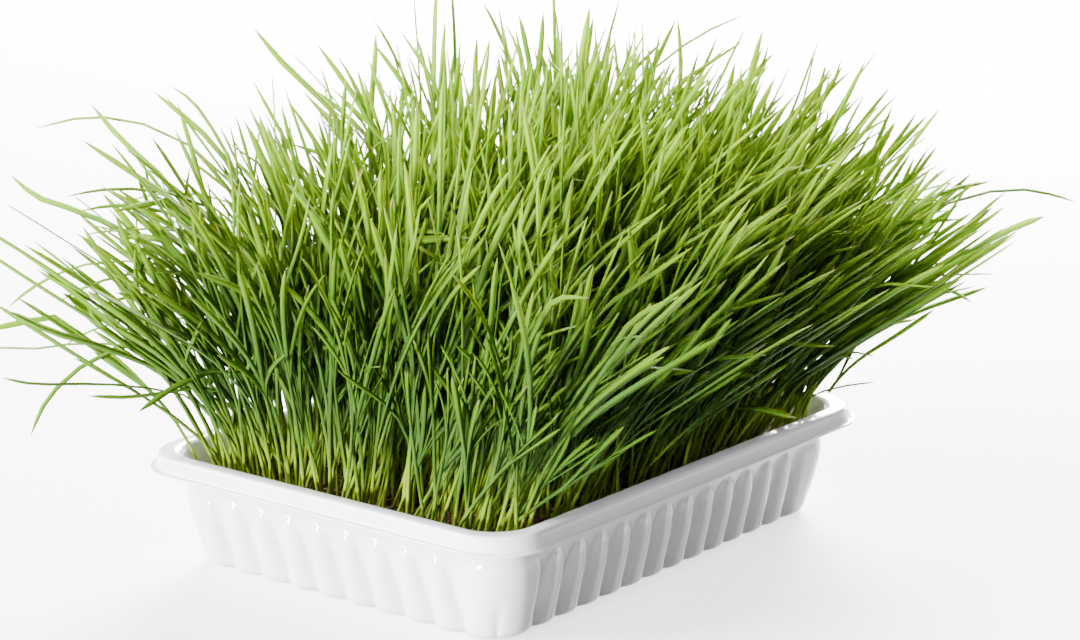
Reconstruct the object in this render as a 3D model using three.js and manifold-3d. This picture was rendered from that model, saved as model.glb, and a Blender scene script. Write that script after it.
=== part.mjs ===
// A tray of growing wheatgrass: a white thermoformed tray with fluted walls, the growing medium
// that fills it, and tufts of grass, each rooted in its own clod of seeds and roots.
// Millimetres, +Z up. The origin is the middle of the tray's underside, X along its long side.

import * as THREE from 'three';
import { mergeVertices } from 'three/addons/utils/BufferGeometryUtils.js';
import Module from 'manifold-3d';

// Tray. Offsets are measured outward from the foot's rectangle.
const RIM_LENGTH = 227;
const RIM_WIDTH = 177;
const TRAY_HEIGHT = 42.8;
const RIM_OVERHANG = 15.9;
const SHEET = 0.8;
const WALL_DRAFT = 0.15;
const WALL_CORNER = 14;
const RIM_CORNER = 20;
const LIP_HEIGHT = 36.6;
const SKIRT_DRAFT = 0.13;
const LEDGE_OUTER = 13.4;
const LEDGE_INNER = 7;
const LEDGE_ROUND = 0.9;
const FOOT_RADIUS = 3.8;
const VALLEY_RADIUS = 2;

// Flutes: round ribs with a sharp valley between each two, which fades out under the rim
const LONG_FLUTES = 12;
const SHORT_FLUTES = 8;
const LONG_PITCH = 12.7;
const SHORT_PITCH = 13.6;
const FLUTE_DEPTH = 4.3;
const FLUTE_TOP = 31;
const FLUTE_ROUNDNESS = 1.06;
const VALLEY_NARROWEST = 0.25;
const BAND_HEIGHT = 31.5;
const WALL_HEIGHTS = [0, 1.8, 6, BAND_HEIGHT];
const FLUTE_STEPS = 4;
const CORNER_STEPS = 6;

// Growing medium, and the clods of seed and root that lie on it
const GAP = 0.3;
const MEDIUM_HEIGHT = 28;
const MEDIUM_FOOT = -6;
const MEDIUM_TOP = 2.6;
const CLOD_FIELD = new THREE.Vector2(196, 147);
const CLOD_ROWS = [7, 6, 7, 6, 7];
const CLOD_SPACING = 0.6;
const CLOD_HEIGHT = 4.6;
const CLOD_CROWN = 1.4;
const CLOD_SIDES = 8;
const CLOD_CORNER = 1.2;
const CLOD_TAPER = 0.93;
const CLOD_ROUGHNESS = 0.07;

// Grass. Leans are in radians from upright at the blade's tip.
const BLADES_PER_TUFT = 11;
const BLADE_LENGTH = 153;
const LENGTH_SPREAD = 24;
const EDGE_SHORTENING = 0.13;
const BLADE_WIDTH = 2.7;
const BLADE_DEPTH = 0.95;
const BLADE_SIDES = 3;
const ROOT_WIDTH = 0.75;
const BLADE_STEPS = 4;
const BLADE_TURN = 1.1;
const BLADE_TWIST = 0.6;
const ROOT_DEPTH = 3.2;
const ROOT_EDGE = 2.4;
const FAN_OUT = 0.66;
const WIND = new THREE.Vector2(0.09, -0.11);
const STRAY = 0.42;
const ARCHES_PER_TUFT = 2;
const ARCH_LEAN = 1.7;
const ARCH_SPREAD = 0.55;
const ARCH_LENGTH = 152;
const ARCH_STEPS = 6;
const BEND_POWER = 1.3;
const ARCH_POWER = 1;
const PATH_STEPS = 24;
const CLEARANCE = 3.1;
const SAMPLE_STEP = 2.4;
const OVER_RIM = 4;
const TRIES = 240;
const SEED = 20417;

const FOOT_HALF = new THREE.Vector2(RIM_LENGTH / 2 - RIM_OVERHANG, RIM_WIDTH / 2 - RIM_OVERHANG);
const UP = new THREE.Vector3(0, 0, 1);

const wasm = await Module();
wasm.setup();

// Seeded draw between 0 and 1, so that every build grows the same grass
function seededDraw(seed) {
  let state = seed;
  return () => {
    state = (state + 0x6d2b79f5) | 0;
    let mix = Math.imul(state ^ (state >>> 15), 1 | state);
    mix = (mix + Math.imul(mix ^ (mix >>> 7), 61 | mix)) ^ mix;
    return ((mix ^ (mix >>> 14)) >>> 0) / 4294967296;
  };
}

const draw = seededDraw(SEED);

// A draw between -1 and 1 that bunches round zero
function drawBunched() {
  return (draw() + draw() + draw()) / 1.5 - 1;
}

// The closed solid of a geometry, without its normals, seams and flat faces
function solidFrom(geometry) {
  geometry.deleteAttribute('normal');
  geometry.deleteAttribute('uv');
  const merged = mergeVertices(geometry, 1e-4);
  const faces = [];
  for (let face = 0; face < merged.index.count; face += 3) {
    const [a, b, c] = merged.index.array.slice(face, face + 3);
    if (a !== b && b !== c && c !== a) {
      faces.push(a, b, c);
    }
  }
  return new wasm.Manifold(new wasm.Mesh({
    numProp: 3,
    vertProperties: new Float32Array(merged.attributes.position.array),
    triVerts: new Uint32Array(faces),
  }));
}

function meshFrom(name, solid, material) {
  const { vertProperties, triVerts } = solid.getMesh();
  const geometry = new THREE.BufferGeometry();
  geometry.setAttribute('position', new THREE.BufferAttribute(vertProperties, 3));
  geometry.setIndex(new THREE.BufferAttribute(triVerts, 1));
  geometry.computeVertexNormals();
  const mesh = new THREE.Mesh(geometry, material);
  mesh.name = name;
  return mesh;
}

// How deep a flute's side lies below its crest, as a share of the valley's depth. away is the
// distance from the valley over the valley's half width.
function fluteArc(away) {
  const rise = Math.max(0, 1 - away);
  const full = FLUTE_ROUNDNESS - Math.sqrt(FLUTE_ROUNDNESS ** 2 - 1);
  return (FLUTE_ROUNDNESS - Math.sqrt(FLUTE_ROUNDNESS ** 2 - rise ** 2)) / full;
}

// The share of the valley's depth at a place of the wall: 0 on a crest, a corner or the band
function valleyShare(place, height) {
  if (place.along === undefined || height >= FLUTE_TOP) {
    return 0;
  }
  const end = (place.flutes / 2) * place.pitch;
  const step = THREE.MathUtils.clamp(Math.round((place.along + end) / place.pitch), 0, place.flutes);
  const fromValley = Math.abs(place.along - (step * place.pitch - end));
  const width = THREE.MathUtils.lerp(1, VALLEY_NARROWEST, height / FLUTE_TOP);
  return fluteArc(fromValley / ((place.pitch / 2) * width));
}

// The wall's offset at a height, on its outer face, or on its inner face where skin is the sheet
function wallOffset(place, height, skin) {
  const share = valleyShare(place, height);
  const depth = share * FLUTE_DEPTH * (1 - height / FLUTE_TOP);
  const radius = THREE.MathUtils.lerp(FOOT_RADIUS, VALLEY_RADIUS, share) - skin;
  const below = Math.max(0, radius + skin - height);
  const tuck = radius - Math.sqrt(radius ** 2 - below ** 2);
  return height * WALL_DRAFT - depth - tuck - skin;
}

// Places round the tray, anticlockwise: along each side the steps of its flutes where they are
// wanted, then the steps of the corner's arc
function placesRound(fluted) {
  const places = [];
  for (let side = 0; side < 4; side += 1) {
    const isLong = side % 2 === 1;
    const flutes = isLong ? LONG_FLUTES : SHORT_FLUTES;
    const pitch = isLong ? LONG_PITCH : SHORT_PITCH;
    for (let step = -1; fluted && step <= flutes * FLUTE_STEPS + 1; step += 1) {
      places.push({ side, flutes, pitch, along: (step / FLUTE_STEPS - flutes / 2) * pitch });
    }
    for (let step = 0; step <= CORNER_STEPS; step += 1) {
      places.push({ side, turn: ((step / CORNER_STEPS) * Math.PI) / 2 });
    }
  }
  return places;
}

// The point of a place on the rounded rectangle that stands at an offset and a height. The
// corners are tighter where the wall tucks in to the foot, and wider out at the rim.
function pointAt(place, offset, height) {
  const isLong = place.side % 2 === 1;
  const out = (isLong ? FOOT_HALF.y : FOOT_HALF.x) + offset;
  const across = (isLong ? FOOT_HALF.x : FOOT_HALF.y) + offset;
  const wallTop = BAND_HEIGHT * WALL_DRAFT;
  const growth = THREE.MathUtils.clamp((offset - wallTop) / (RIM_OVERHANG - wallTop), 0, 1);
  const tuck = Math.min(0, offset - height * WALL_DRAFT);
  const radius = THREE.MathUtils.lerp(WALL_CORNER, RIM_CORNER, growth) + tuck;
  const point = new THREE.Vector3(out, place.along, height);
  if (place.turn !== undefined) {
    point.x = out - radius + radius * Math.cos(place.turn);
    point.y = across - radius + radius * Math.sin(place.turn);
  }
  return point.applyAxisAngle(UP, (place.side * Math.PI) / 2);
}

// A body swept round the tray from a section of [offset, height] points, where an offset may be
// a function of the place, and null is the middle line
function sweptSolid(section, places) {
  const profile = section.map(([offset, height]) => new THREE.Vector2(offset === null ? 0 : 1, height));
  const geometry = new THREE.LatheGeometry(profile, places.length);
  const { position } = geometry.attributes;
  for (let turn = 0; turn <= places.length; turn += 1) {
    const place = places[turn % places.length];
    section.forEach(([offset, height], index) => {
      const point = new THREE.Vector3(0, 0, height);
      if (offset !== null) {
        point.copy(pointAt(place, typeof offset === 'function' ? offset(place) : offset, height));
      }
      position.setXYZ(turn * section.length + index, point.x, point.y, point.z);
    });
  }
  return solidFrom(geometry);
}

// The foot, the floor and the fluted wall, up to the plain band under the rim
function fluteShell() {
  const outer = WALL_HEIGHTS.map((height) => [(place) => wallOffset(place, height, 0), height]);
  const innerHeights = [BAND_HEIGHT, FOOT_RADIUS, SHEET];
  const inner = innerHeights.map((height) => [(place) => wallOffset(place, height, SHEET), height]);
  return sweptSolid([[null, 0], ...outer, ...inner, [null, SHEET]], placesRound(true));
}

// The plain band of the wall, the flat ledge, the skirt outside it and the lip at its bottom
function rimRing() {
  const bandOffset = BAND_HEIGHT * WALL_DRAFT;
  const under = TRAY_HEIGHT - SHEET;
  const skirtFoot = LEDGE_OUTER + (under - LIP_HEIGHT) * SKIRT_DRAFT;
  const section = [
    [bandOffset, BAND_HEIGHT],
    [under * WALL_DRAFT, under],
    [LEDGE_OUTER - SHEET, under],
    [skirtFoot - SHEET, LIP_HEIGHT],
    [RIM_OVERHANG, LIP_HEIGHT],
    [RIM_OVERHANG, LIP_HEIGHT + SHEET],
    [skirtFoot, LIP_HEIGHT + SHEET],
    [LEDGE_OUTER, TRAY_HEIGHT - LEDGE_ROUND],
    [LEDGE_OUTER - LEDGE_ROUND, TRAY_HEIGHT],
    [LEDGE_INNER + LEDGE_ROUND, TRAY_HEIGHT],
    [LEDGE_INNER - SHEET, TRAY_HEIGHT - LEDGE_ROUND],
    [bandOffset - SHEET, BAND_HEIGHT],
    [bandOffset, BAND_HEIGHT],
  ];
  return sweptSolid(section, placesRound(false));
}

function tray() {
  const material = new THREE.MeshStandardMaterial({ color: 0xf2f3f6, roughness: 0.3, metalness: 0 });
  return meshFrom('tray', fluteShell().add(rimRing()), material);
}

// Potting mix, a straight-sided block that stands clear of the valleys of the wall
function growingMedium() {
  const bottom = SHEET + GAP;
  const section = [
    [null, bottom],
    [MEDIUM_FOOT, bottom],
    [MEDIUM_TOP, MEDIUM_HEIGHT],
    [null, MEDIUM_HEIGHT],
  ];
  const material = new THREE.MeshStandardMaterial({ color: 0x3b2a1c, roughness: 0.95, metalness: 0 });
  return meshFrom('growing_medium', sweptSolid(section, placesRound(false)), material);
}

// The middle and half sizes of every clod, in staggered rows that fill the tray
function clodCells() {
  const cells = [];
  const depth = CLOD_FIELD.y / CLOD_ROWS.length;
  CLOD_ROWS.forEach((count, row) => {
    const width = CLOD_FIELD.x / count;
    for (let column = 0; column < count; column += 1) {
      const x = (column - (count - 1) / 2) * width;
      const y = (row - (CLOD_ROWS.length - 1) / 2) * depth;
      const isEdge = row === 0 || row === CLOD_ROWS.length - 1 || column === 0 || column === count - 1;
      const half = new THREE.Vector2(width / 2 - CLOD_SPACING, depth / 2 - CLOD_SPACING);
      cells.push({ middle: new THREE.Vector2(x, y), half, isEdge });
    }
  });
  return cells;
}

// A clod: a low uneven pad with a raised crown, a little square so that the rows close up
function clodSolid(cell) {
  const geometry = new THREE.CylinderGeometry(CLOD_TAPER, 1, CLOD_HEIGHT, CLOD_SIDES);
  geometry.rotateX(Math.PI / 2);
  geometry.translate(0, 0, MEDIUM_HEIGHT + GAP + CLOD_HEIGHT / 2);
  const reach = [];
  for (let side = 0; side < CLOD_SIDES; side += 1) {
    reach.push((side % 2 === 1 ? CLOD_CORNER : 1) * (1 - CLOD_ROUGHNESS * draw()));
  }
  const { position } = geometry.attributes;
  for (let vertex = 0; vertex < position.count; vertex += 1) {
    const [x, y, z] = [position.getX(vertex), position.getY(vertex), position.getZ(vertex)];
    const isMiddle = Math.hypot(x, y) < 0.5;
    const turn = Math.round((Math.atan2(y, x) / (2 * Math.PI)) * CLOD_SIDES);
    const size = reach[(turn + CLOD_SIDES) % CLOD_SIDES];
    const crown = isMiddle && z > MEDIUM_HEIGHT + CLOD_HEIGHT / 2 ? CLOD_CROWN : 0;
    const along = cell.middle.x + x * size * cell.half.x;
    const across = cell.middle.y + y * size * cell.half.y;
    position.setXYZ(vertex, along, across, z + crown);
  }
  return solidFrom(geometry);
}

// The middle line of a blade: upright at its root and bending ever more towards its lean
function bladePath(root, lean, length, steps, bendPower) {
  const bearing = lean.clone().normalize();
  const point = new THREE.Vector3(root.x, root.y, MEDIUM_HEIGHT + GAP + CLOD_HEIGHT - ROOT_DEPTH);
  const path = [point.clone()];
  for (let step = 0; step < PATH_STEPS; step += 1) {
    const angle = lean.length() * ((step + 0.5) / PATH_STEPS) ** bendPower;
    const across = Math.sin(angle);
    const heading = new THREE.Vector3(bearing.x * across, bearing.y * across, Math.cos(angle));
    point.addScaledVector(heading, length / PATH_STEPS);
    if ((step + 1) % (PATH_STEPS / steps) === 0) {
      path.push(point.clone());
    }
  }
  return path;
}

// Points along a blade's middle line, close enough together to test how near others come
function samplesAlong(path) {
  const samples = [];
  for (let step = 1; step < path.length; step += 1) {
    const span = path[step].distanceTo(path[step - 1]);
    for (let run = 0; run < span; run += SAMPLE_STEP) {
      samples.push(path[step - 1].clone().lerp(path[step], run / span));
    }
  }
  return samples;
}

const occupied = new Map();

function cellKey(x, y, z) {
  return `${Math.floor(x / CLEARANCE)},${Math.floor(y / CLEARANCE)},${Math.floor(z / CLEARANCE)}`;
}

function hasNeighbour(sample) {
  for (let place = 0; place < 27; place += 1) {
    const x = sample.x + ((place % 3) - 1) * CLEARANCE;
    const y = sample.y + ((Math.floor(place / 3) % 3) - 1) * CLEARANCE;
    const z = sample.z + (Math.floor(place / 9) - 1) * CLEARANCE;
    const others = occupied.get(cellKey(x, y, z)) ?? [];
    if (others.some((other) => other.distanceTo(sample) < CLEARANCE)) {
      return true;
    }
  }
  return false;
}

// Whether a sample keeps off the tray: inside its walls low down, and over its rim further up
function touchesTray(sample) {
  const out = Math.max(Math.abs(sample.x) - FOOT_HALF.x, Math.abs(sample.y) - FOOT_HALF.y);
  return sample.z < TRAY_HEIGHT + OVER_RIM && out > MEDIUM_TOP;
}

function claim(samples) {
  samples.forEach((sample) => {
    const key = cellKey(sample.x, sample.y, sample.z);
    occupied.set(key, [...(occupied.get(key) ?? []), sample]);
  });
}

// A place for a root on a clod, clear of the clod's edge
function rootOn(cell) {
  const turn = draw() * 2 * Math.PI;
  const share = Math.sqrt(draw());
  return new THREE.Vector2(
    cell.middle.x + Math.cos(turn) * share * (cell.half.x - ROOT_EDGE),
    cell.middle.y + Math.sin(turn) * share * (cell.half.y - ROOT_EDGE),
  );
}

// The lean of a blade: outward with its distance from the middle of the tray, downwind, and
// astray. A few blades of each tuft at the edge arch far out.
function leanFrom(root, isArching) {
  const outward = new THREE.Vector2(root.x / FOOT_HALF.x, root.y / FOOT_HALF.y);
  if (isArching) {
    const turned = outward.rotateAround(new THREE.Vector2(), drawBunched() * STRAY);
    return turned.setLength(ARCH_LEAN + ARCH_SPREAD * (2 * draw() - 1));
  }
  const stray = new THREE.Vector2(drawBunched(), drawBunched()).multiplyScalar(STRAY);
  return outward.multiplyScalar(FAN_OUT).add(WIND).add(stray);
}

// The usual length of a tuft's blades: the stand is tallest in its middle
function tuftLength(cell) {
  const share = (cell.middle.x / FOOT_HALF.x) ** 2 + (cell.middle.y / FOOT_HALF.y) ** 2;
  return BLADE_LENGTH * (1 - EDGE_SHORTENING * share);
}

// A path for one more blade that keeps clear of the tray and of every blade so far, or nothing
// where the tuft has no room left
function findPath(cell, isArching) {
  for (let attempt = 0; attempt < TRIES; attempt += 1) {
    const root = rootOn(cell);
    const length = isArching ? ARCH_LENGTH : tuftLength(cell) + LENGTH_SPREAD * drawBunched();
    const steps = isArching ? ARCH_STEPS : BLADE_STEPS;
    const power = isArching ? ARCH_POWER : BEND_POWER;
    const path = bladePath(root, leanFrom(root, isArching), length, steps, power);
    const samples = samplesAlong(path);
    if (!samples.some((sample) => touchesTray(sample) || hasNeighbour(sample))) {
      claim(samples);
      return path;
    }
  }
  return null;
}

// A blade: flat on one face with a keel along the other, turning slowly, and closing to a tip
function bladeSolid(path) {
  const steps = path.length - 1;
  const geometry = new THREE.ConeGeometry(1, 1, BLADE_SIDES, steps);
  const { position } = geometry.attributes;
  const leaning = path[steps].clone().sub(path[0]).setZ(0).normalize();
  const facing = (draw() - 0.5) * 2 * BLADE_TURN;
  const twist = (draw() - 0.5) * 2 * BLADE_TWIST;
  for (let vertex = 0; vertex < position.count; vertex += 1) {
    const step = Math.round((position.getY(vertex) + 0.5) * steps);
    const run = step / steps;
    const shrink = Math.max(1 - run, 1e-6);
    const before = path[Math.max(step - 1, 0)];
    const after = path[Math.min(step + 1, steps)];
    const heading = after.clone().sub(before).normalize();
    const turn = facing + twist * run;
    const flat = leaning.clone().applyAxisAngle(UP, Math.PI / 2 + turn);
    const side = flat.addScaledVector(heading, -flat.dot(heading)).normalize();
    const keel = side.clone().cross(heading);
    const across = (position.getX(vertex) / shrink / Math.sin(Math.PI / 3)) * (BLADE_WIDTH / 2);
    const back = ((position.getZ(vertex) / shrink + 0.5) / 1.5) * BLADE_DEPTH;
    const size = Math.min(ROOT_WIDTH + run, 1) * Math.sqrt(1 - run ** 3);
    const point = path[step].clone().addScaledVector(side, across * size).addScaledVector(keel, back * size);
    position.setXYZ(vertex, point.x, point.y, point.z);
  }
  return solidFrom(geometry);
}

// One tuft: its clod with its blades sunk into it
function grassTuft(cell, number) {
  let solid = clodSolid(cell);
  for (let blade = 0; blade < BLADES_PER_TUFT; blade += 1) {
    const path = findPath(cell, cell.isEdge && blade < ARCHES_PER_TUFT);
    if (path) {
      solid = solid.add(bladeSolid(path));
    }
  }
  const color = new THREE.Color(0x5f9a22).lerp(new THREE.Color(0x9bc94a), draw());
  const material = new THREE.MeshStandardMaterial({ color, roughness: 0.55, metalness: 0 });
  return meshFrom(`grass_tuft_${String(number + 1).padStart(2, '0')}`, solid, material);
}

const wheatgrassTray = new THREE.Group();
wheatgrassTray.add(tray(), growingMedium());
clodCells().forEach((cell, number) => wheatgrassTray.add(grassTuft(cell, number)));

export default wheatgrassTray;
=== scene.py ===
"""A tray of growing wheatgrass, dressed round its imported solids.

The white fluted tray, the growing medium that fills it, and thirty-three tufts of grass, each with
the clod of seeds and roots that it grows from. Sizes are in millimetres unless a name or a comment
says otherwise. Meshes are in metres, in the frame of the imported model: the origin is the middle of
the tray's underside, X runs along its long side and Z is up.
"""

from __future__ import annotations

import logging
import math
from dataclasses import dataclass, field
from enum import Enum

import bpy
import numpy as np
from bpy.types import ID, Material, Mesh, Node, NodeSocket, NodeTree, Object
from mathutils import Euler, Matrix, Vector
from numpy import ndarray
from numpy.random import Generator


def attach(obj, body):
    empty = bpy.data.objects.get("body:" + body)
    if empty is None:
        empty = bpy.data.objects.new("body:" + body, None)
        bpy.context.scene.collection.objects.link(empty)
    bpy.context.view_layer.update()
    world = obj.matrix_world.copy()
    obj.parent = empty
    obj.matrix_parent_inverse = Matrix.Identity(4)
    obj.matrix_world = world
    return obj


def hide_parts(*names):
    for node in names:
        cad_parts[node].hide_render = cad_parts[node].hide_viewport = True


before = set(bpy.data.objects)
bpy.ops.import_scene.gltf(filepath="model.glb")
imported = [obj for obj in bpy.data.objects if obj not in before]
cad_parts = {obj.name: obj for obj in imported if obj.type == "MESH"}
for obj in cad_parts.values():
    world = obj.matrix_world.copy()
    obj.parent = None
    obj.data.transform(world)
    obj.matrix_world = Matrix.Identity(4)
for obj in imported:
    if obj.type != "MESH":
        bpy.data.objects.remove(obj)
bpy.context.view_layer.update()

LOG = logging.getLogger("wheatgrass_tray")
MM = 0.001
BODY = "root"

Colour = tuple[float, float, float]
Point = tuple[float, float, float]
Span = tuple[float, float]


# Node trees


class Graph:
    """A node tree under construction, with short calls that add a node and join it up."""

    def __init__(self, tree: NodeTree) -> None:
        """Starts on the geometry or shader tree that gets the nodes."""
        self.tree = tree

    def add(self, kind: str, feeds: dict | None = None, **settings: object) -> Node:
        """Adds a node, sets it and feeds its inputs.

        Args:
            kind: The node's type name.
            feeds: A socket or a plain value for each input, by its name or its index.
            **settings: The node's own properties.

        Returns:
            The new node.
        """
        node = self.tree.nodes.new(kind)
        for name, value in settings.items():
            setattr(node, name, value)
        for key, value in (feeds or {}).items():
            self.feed(node.inputs[key], value)
        return node

    def feed(self, socket: NodeSocket, value: object) -> None:
        """Links a socket to an input, or sets the input's own value.

        Args:
            socket: The input.
            value: The output socket or plain value that it gets.
        """
        if isinstance(value, NodeSocket):
            self.tree.links.new(value, socket)
        else:
            socket.default_value = value

    def math(self, operation: str, *values: object) -> NodeSocket:
        """The result of a Math node over sockets and numbers."""
        return self.add("ShaderNodeMath", dict(enumerate(values)), operation=operation).outputs[0]

    def times(self, first: object, *others: object) -> NodeSocket:
        """The product of sockets and numbers."""
        for other in others:
            first = self.math("MULTIPLY", first, other)
        return first

    def less(self, value: object, taken: object) -> NodeSocket:
        """A value with another taken off."""
        return self.math("SUBTRACT", value, taken)

    def vector(self, operation: str, *values: object) -> NodeSocket:
        """The vector result of a Vector Math node over sockets and vectors."""
        return self.add("ShaderNodeVectorMath", dict(enumerate(values)), operation=operation).outputs[0]

    def scaled(self, vector: object, factor: object) -> NodeSocket:
        """A vector times a number."""
        node = self.add("ShaderNodeVectorMath", {0: vector, "Scale": factor}, operation="SCALE")
        return node.outputs[0]

    def split(self, vector: object) -> list[NodeSocket]:
        """The three parts of a vector."""
        return list(self.add("ShaderNodeSeparateXYZ", {0: vector}).outputs)

    def blend(self, factor: object, low: object, high: object) -> NodeSocket:
        """A number between two others."""
        node = self.add("ShaderNodeMix", {0: factor, 2: low, 3: high}, data_type="FLOAT")
        return node.outputs[0]

    def ease(self, value: object, start: object, end: object, low: object = 0.0, high: object = 1.0,
             smooth: bool = True) -> NodeSocket:
        """A value's place between two limits, brought to another range.

        Args:
            value: The value.
            start: Where the range starts.
            end: Where the range ends.
            low: The result at the start.
            high: The result at the end.
            smooth: Whether the change eases in and out.

        Returns:
            The result's socket.
        """
        kind = "SMOOTHSTEP" if smooth else "LINEAR"
        feeds = {0: value, 1: start, 2: end, 3: low, 4: high}
        return self.add("ShaderNodeMapRange", feeds, interpolation_type=kind).outputs[0]


class GeometryGraph(Graph):
    """A geometry tree with named inputs, which ends in Realize Instances and Set Material."""

    def __init__(self, name: str, sizes: dict[str, float]) -> None:
        """Opens the tree.

        Args:
            name: The tree's name.
            sizes: Its named inputs, each with a usual value.
        """
        super().__init__(bpy.data.node_groups.new(name, "GeometryNodeTree"))
        face = self.tree.interface
        face.new_socket(name="Geometry", in_out="INPUT", socket_type="NodeSocketGeometry")
        face.new_socket(name="Geometry", in_out="OUTPUT", socket_type="NodeSocketGeometry")
        for title, value in sizes.items():
            kind = "NodeSocketInt" if isinstance(value, int) else "NodeSocketFloat"
            face.new_socket(name=title, in_out="INPUT", socket_type=kind).default_value = value
        self.inputs = self.add("NodeGroupInput").outputs

    def attribute(self, name: str, kind: str = "FLOAT") -> NodeSocket:
        """A named attribute of the geometry."""
        return self.add("GeometryNodeInputNamedAttribute", {"Name": name}, data_type=kind).outputs[0]

    def random(self, low: float, high: float, seed: object) -> NodeSocket:
        """A random number for each point, from a fixed seed."""
        feeds = {2: low, 3: high, 8: seed}
        return self.add("FunctionNodeRandomValue", feeds, data_type="FLOAT").outputs[1]

    def store(self, geometry: object, name: str, value: object, domain: str = "POINT",
              kind: str = "FLOAT") -> NodeSocket:
        """Stores a value on the geometry under a name.

        Args:
            geometry: The geometry.
            name: The attribute's name.
            value: What is stored.
            domain: The part of the geometry that carries it.
            kind: The attribute's data type.

        Returns:
            The geometry with its attribute.
        """
        feeds = {0: geometry, 2: name, 3: value}
        node = self.add("GeometryNodeStoreNamedAttribute", feeds, data_type=kind, domain=domain)
        return node.outputs[0]

    def painted(self, geometry: object, material: Material) -> NodeSocket:
        """The geometry with its instances made real and a material on it."""
        real = self.add("GeometryNodeRealizeInstances", {0: geometry}).outputs[0]
        return self.add("GeometryNodeSetMaterial", {0: real, 2: material}).outputs[0]

    def moved(self, geometry: object, offset: object) -> NodeSocket:
        """The geometry with its points moved by an offset."""
        return self.add("GeometryNodeSetPosition", {0: geometry, 3: offset}).outputs[0]

    def close(self, *parts: object) -> NodeTree:
        """Joins the parts and ends the tree.

        Args:
            *parts: Geometry sockets, each with its material.

        Returns:
            The finished tree.
        """
        joined = self.add("GeometryNodeJoinGeometry")
        for part in reversed(parts):
            self.tree.links.new(part, joined.inputs[0])
        self.add("NodeGroupOutput", {0: joined.outputs[0]})
        return self.tree


class EffectGraph(Graph):
    """A shader group of one shared effect, with named inputs and outputs."""

    def __init__(self, name: str, inputs: dict[str, float], outputs: tuple[str, ...]) -> None:
        """Opens the group.

        Args:
            name: The effect's name.
            inputs: Its numbers, each with a usual value.
            outputs: The names of the values that it puts out.
        """
        super().__init__(bpy.data.node_groups.new(name, "ShaderNodeTree"))
        face = self.tree.interface
        for title, value in inputs.items():
            socket = face.new_socket(name=title, in_out="INPUT", socket_type="NodeSocketFloat")
            socket.default_value = value
        for title in outputs:
            face.new_socket(name=title, in_out="OUTPUT", socket_type="NodeSocketFloat")
        self.inputs = self.add("NodeGroupInput").outputs
        self.place = self.add("ShaderNodeTexCoord").outputs["Object"]

    def close(self, **values: object) -> NodeTree:
        """Ends the group with a value for each output."""
        self.add("NodeGroupOutput", {name.capitalize(): value for name, value in values.items()})
        return self.tree


class MaterialGraph(Graph):
    """A material's tree round its Principled BSDF."""

    def __init__(self, name: str) -> None:
        """Opens a new material's tree.

        Args:
            name: The material's name.
        """
        self.material = bpy.data.materials.new(name)
        self.material.use_nodes = True
        super().__init__(self.material.node_tree)
        self.shader = self.tree.nodes["Principled BSDF"]

    def effect(self, group: NodeTree, **values: object) -> bpy.types.bpy_prop_collection:
        """Places a shared effect.

        Args:
            group: The effect's group.
            **values: Its inputs, by their names in small letters.

        Returns:
            The effect's outputs.
        """
        node = self.add("ShaderNodeGroup", node_tree=group)
        for name, value in values.items():
            self.feed(node.inputs[name.replace("_", " ").title()], value)
        return node.outputs

    def attribute(self, name: str) -> NodeSocket:
        """The value of a mesh attribute."""
        return self.add("ShaderNodeAttribute", attribute_name=name).outputs["Fac"]

    def mix(self, factor: object, low: object, high: object, kind: str = "MIX") -> NodeSocket:
        """A colour between two others, which may be plain colours."""
        feeds = {0: factor, 6: opaque(low), 7: opaque(high)}
        node = self.add("ShaderNodeMix", feeds, data_type="RGBA", blend_type=kind)
        return node.outputs[2]

    def ramp(self, factor: object, stops: tuple[tuple[float, Colour], ...]) -> NodeSocket:
        """A colour read from a row of stops.

        Args:
            factor: The place along the row.
            stops: The place and colour of each stop.

        Returns:
            The colour's socket.
        """
        node = self.add("ShaderNodeValToRGB", {0: factor})
        elements = node.color_ramp.elements
        while len(elements) < len(stops):
            elements.new(0.5)
        for element, (place, colour) in zip(elements, stops):
            element.position = place
            element.color = opaque(colour)
        return node.outputs[0]

    def bump(self, height: object, distance: float, strength: float = 1.0) -> NodeSocket:
        """A normal from a height, with the height's reach in millimetres."""
        feeds = {"Height": height, "Distance": distance * MM, "Strength": strength}
        return self.add("ShaderNodeBump", feeds).outputs[0]

    def finish(self, **values: object) -> Material:
        """Feeds the shader and gives the material.

        Args:
            **values: The shader's inputs, by their names in small letters.

        Returns:
            The finished material.
        """
        for name, value in values.items():
            socket = self.shader.inputs[name.replace("_", " ").title().replace("Ior", "IOR")]
            self.feed(socket, opaque(value) if socket.type == "RGBA" else value)
        return self.material


def opaque(colour: object) -> object:
    """A plain colour with its alpha, or the socket itself."""
    return (*colour, 1.0) if isinstance(colour, tuple) and len(colour) == 3 else colour


# Shared effects


def mottle_effect() -> NodeTree:
    """Cloudy change over a surface, in a broad and a fine size.

    Returns:
        A group that puts out the broad clouds and the fine ones, each from 0 to 1.
    """
    graph = EffectGraph("Mottle", {"Broad": 30.0, "Fine": 300.0, "Contrast": 0.5}, ("Broad", "Fine"))
    low = graph.times(graph.inputs["Contrast"], 0.5)
    high = graph.less(1.0, low)
    sizes = []
    for title in ("Broad", "Fine"):
        feeds = {"Vector": graph.place, "Scale": graph.inputs[title], "Detail": 4.0}
        noise = graph.add("ShaderNodeTexNoise", feeds).outputs[0]
        sizes.append(graph.ease(noise, low, high))
    return graph.close(broad=sizes[0], fine=sizes[1])


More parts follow.
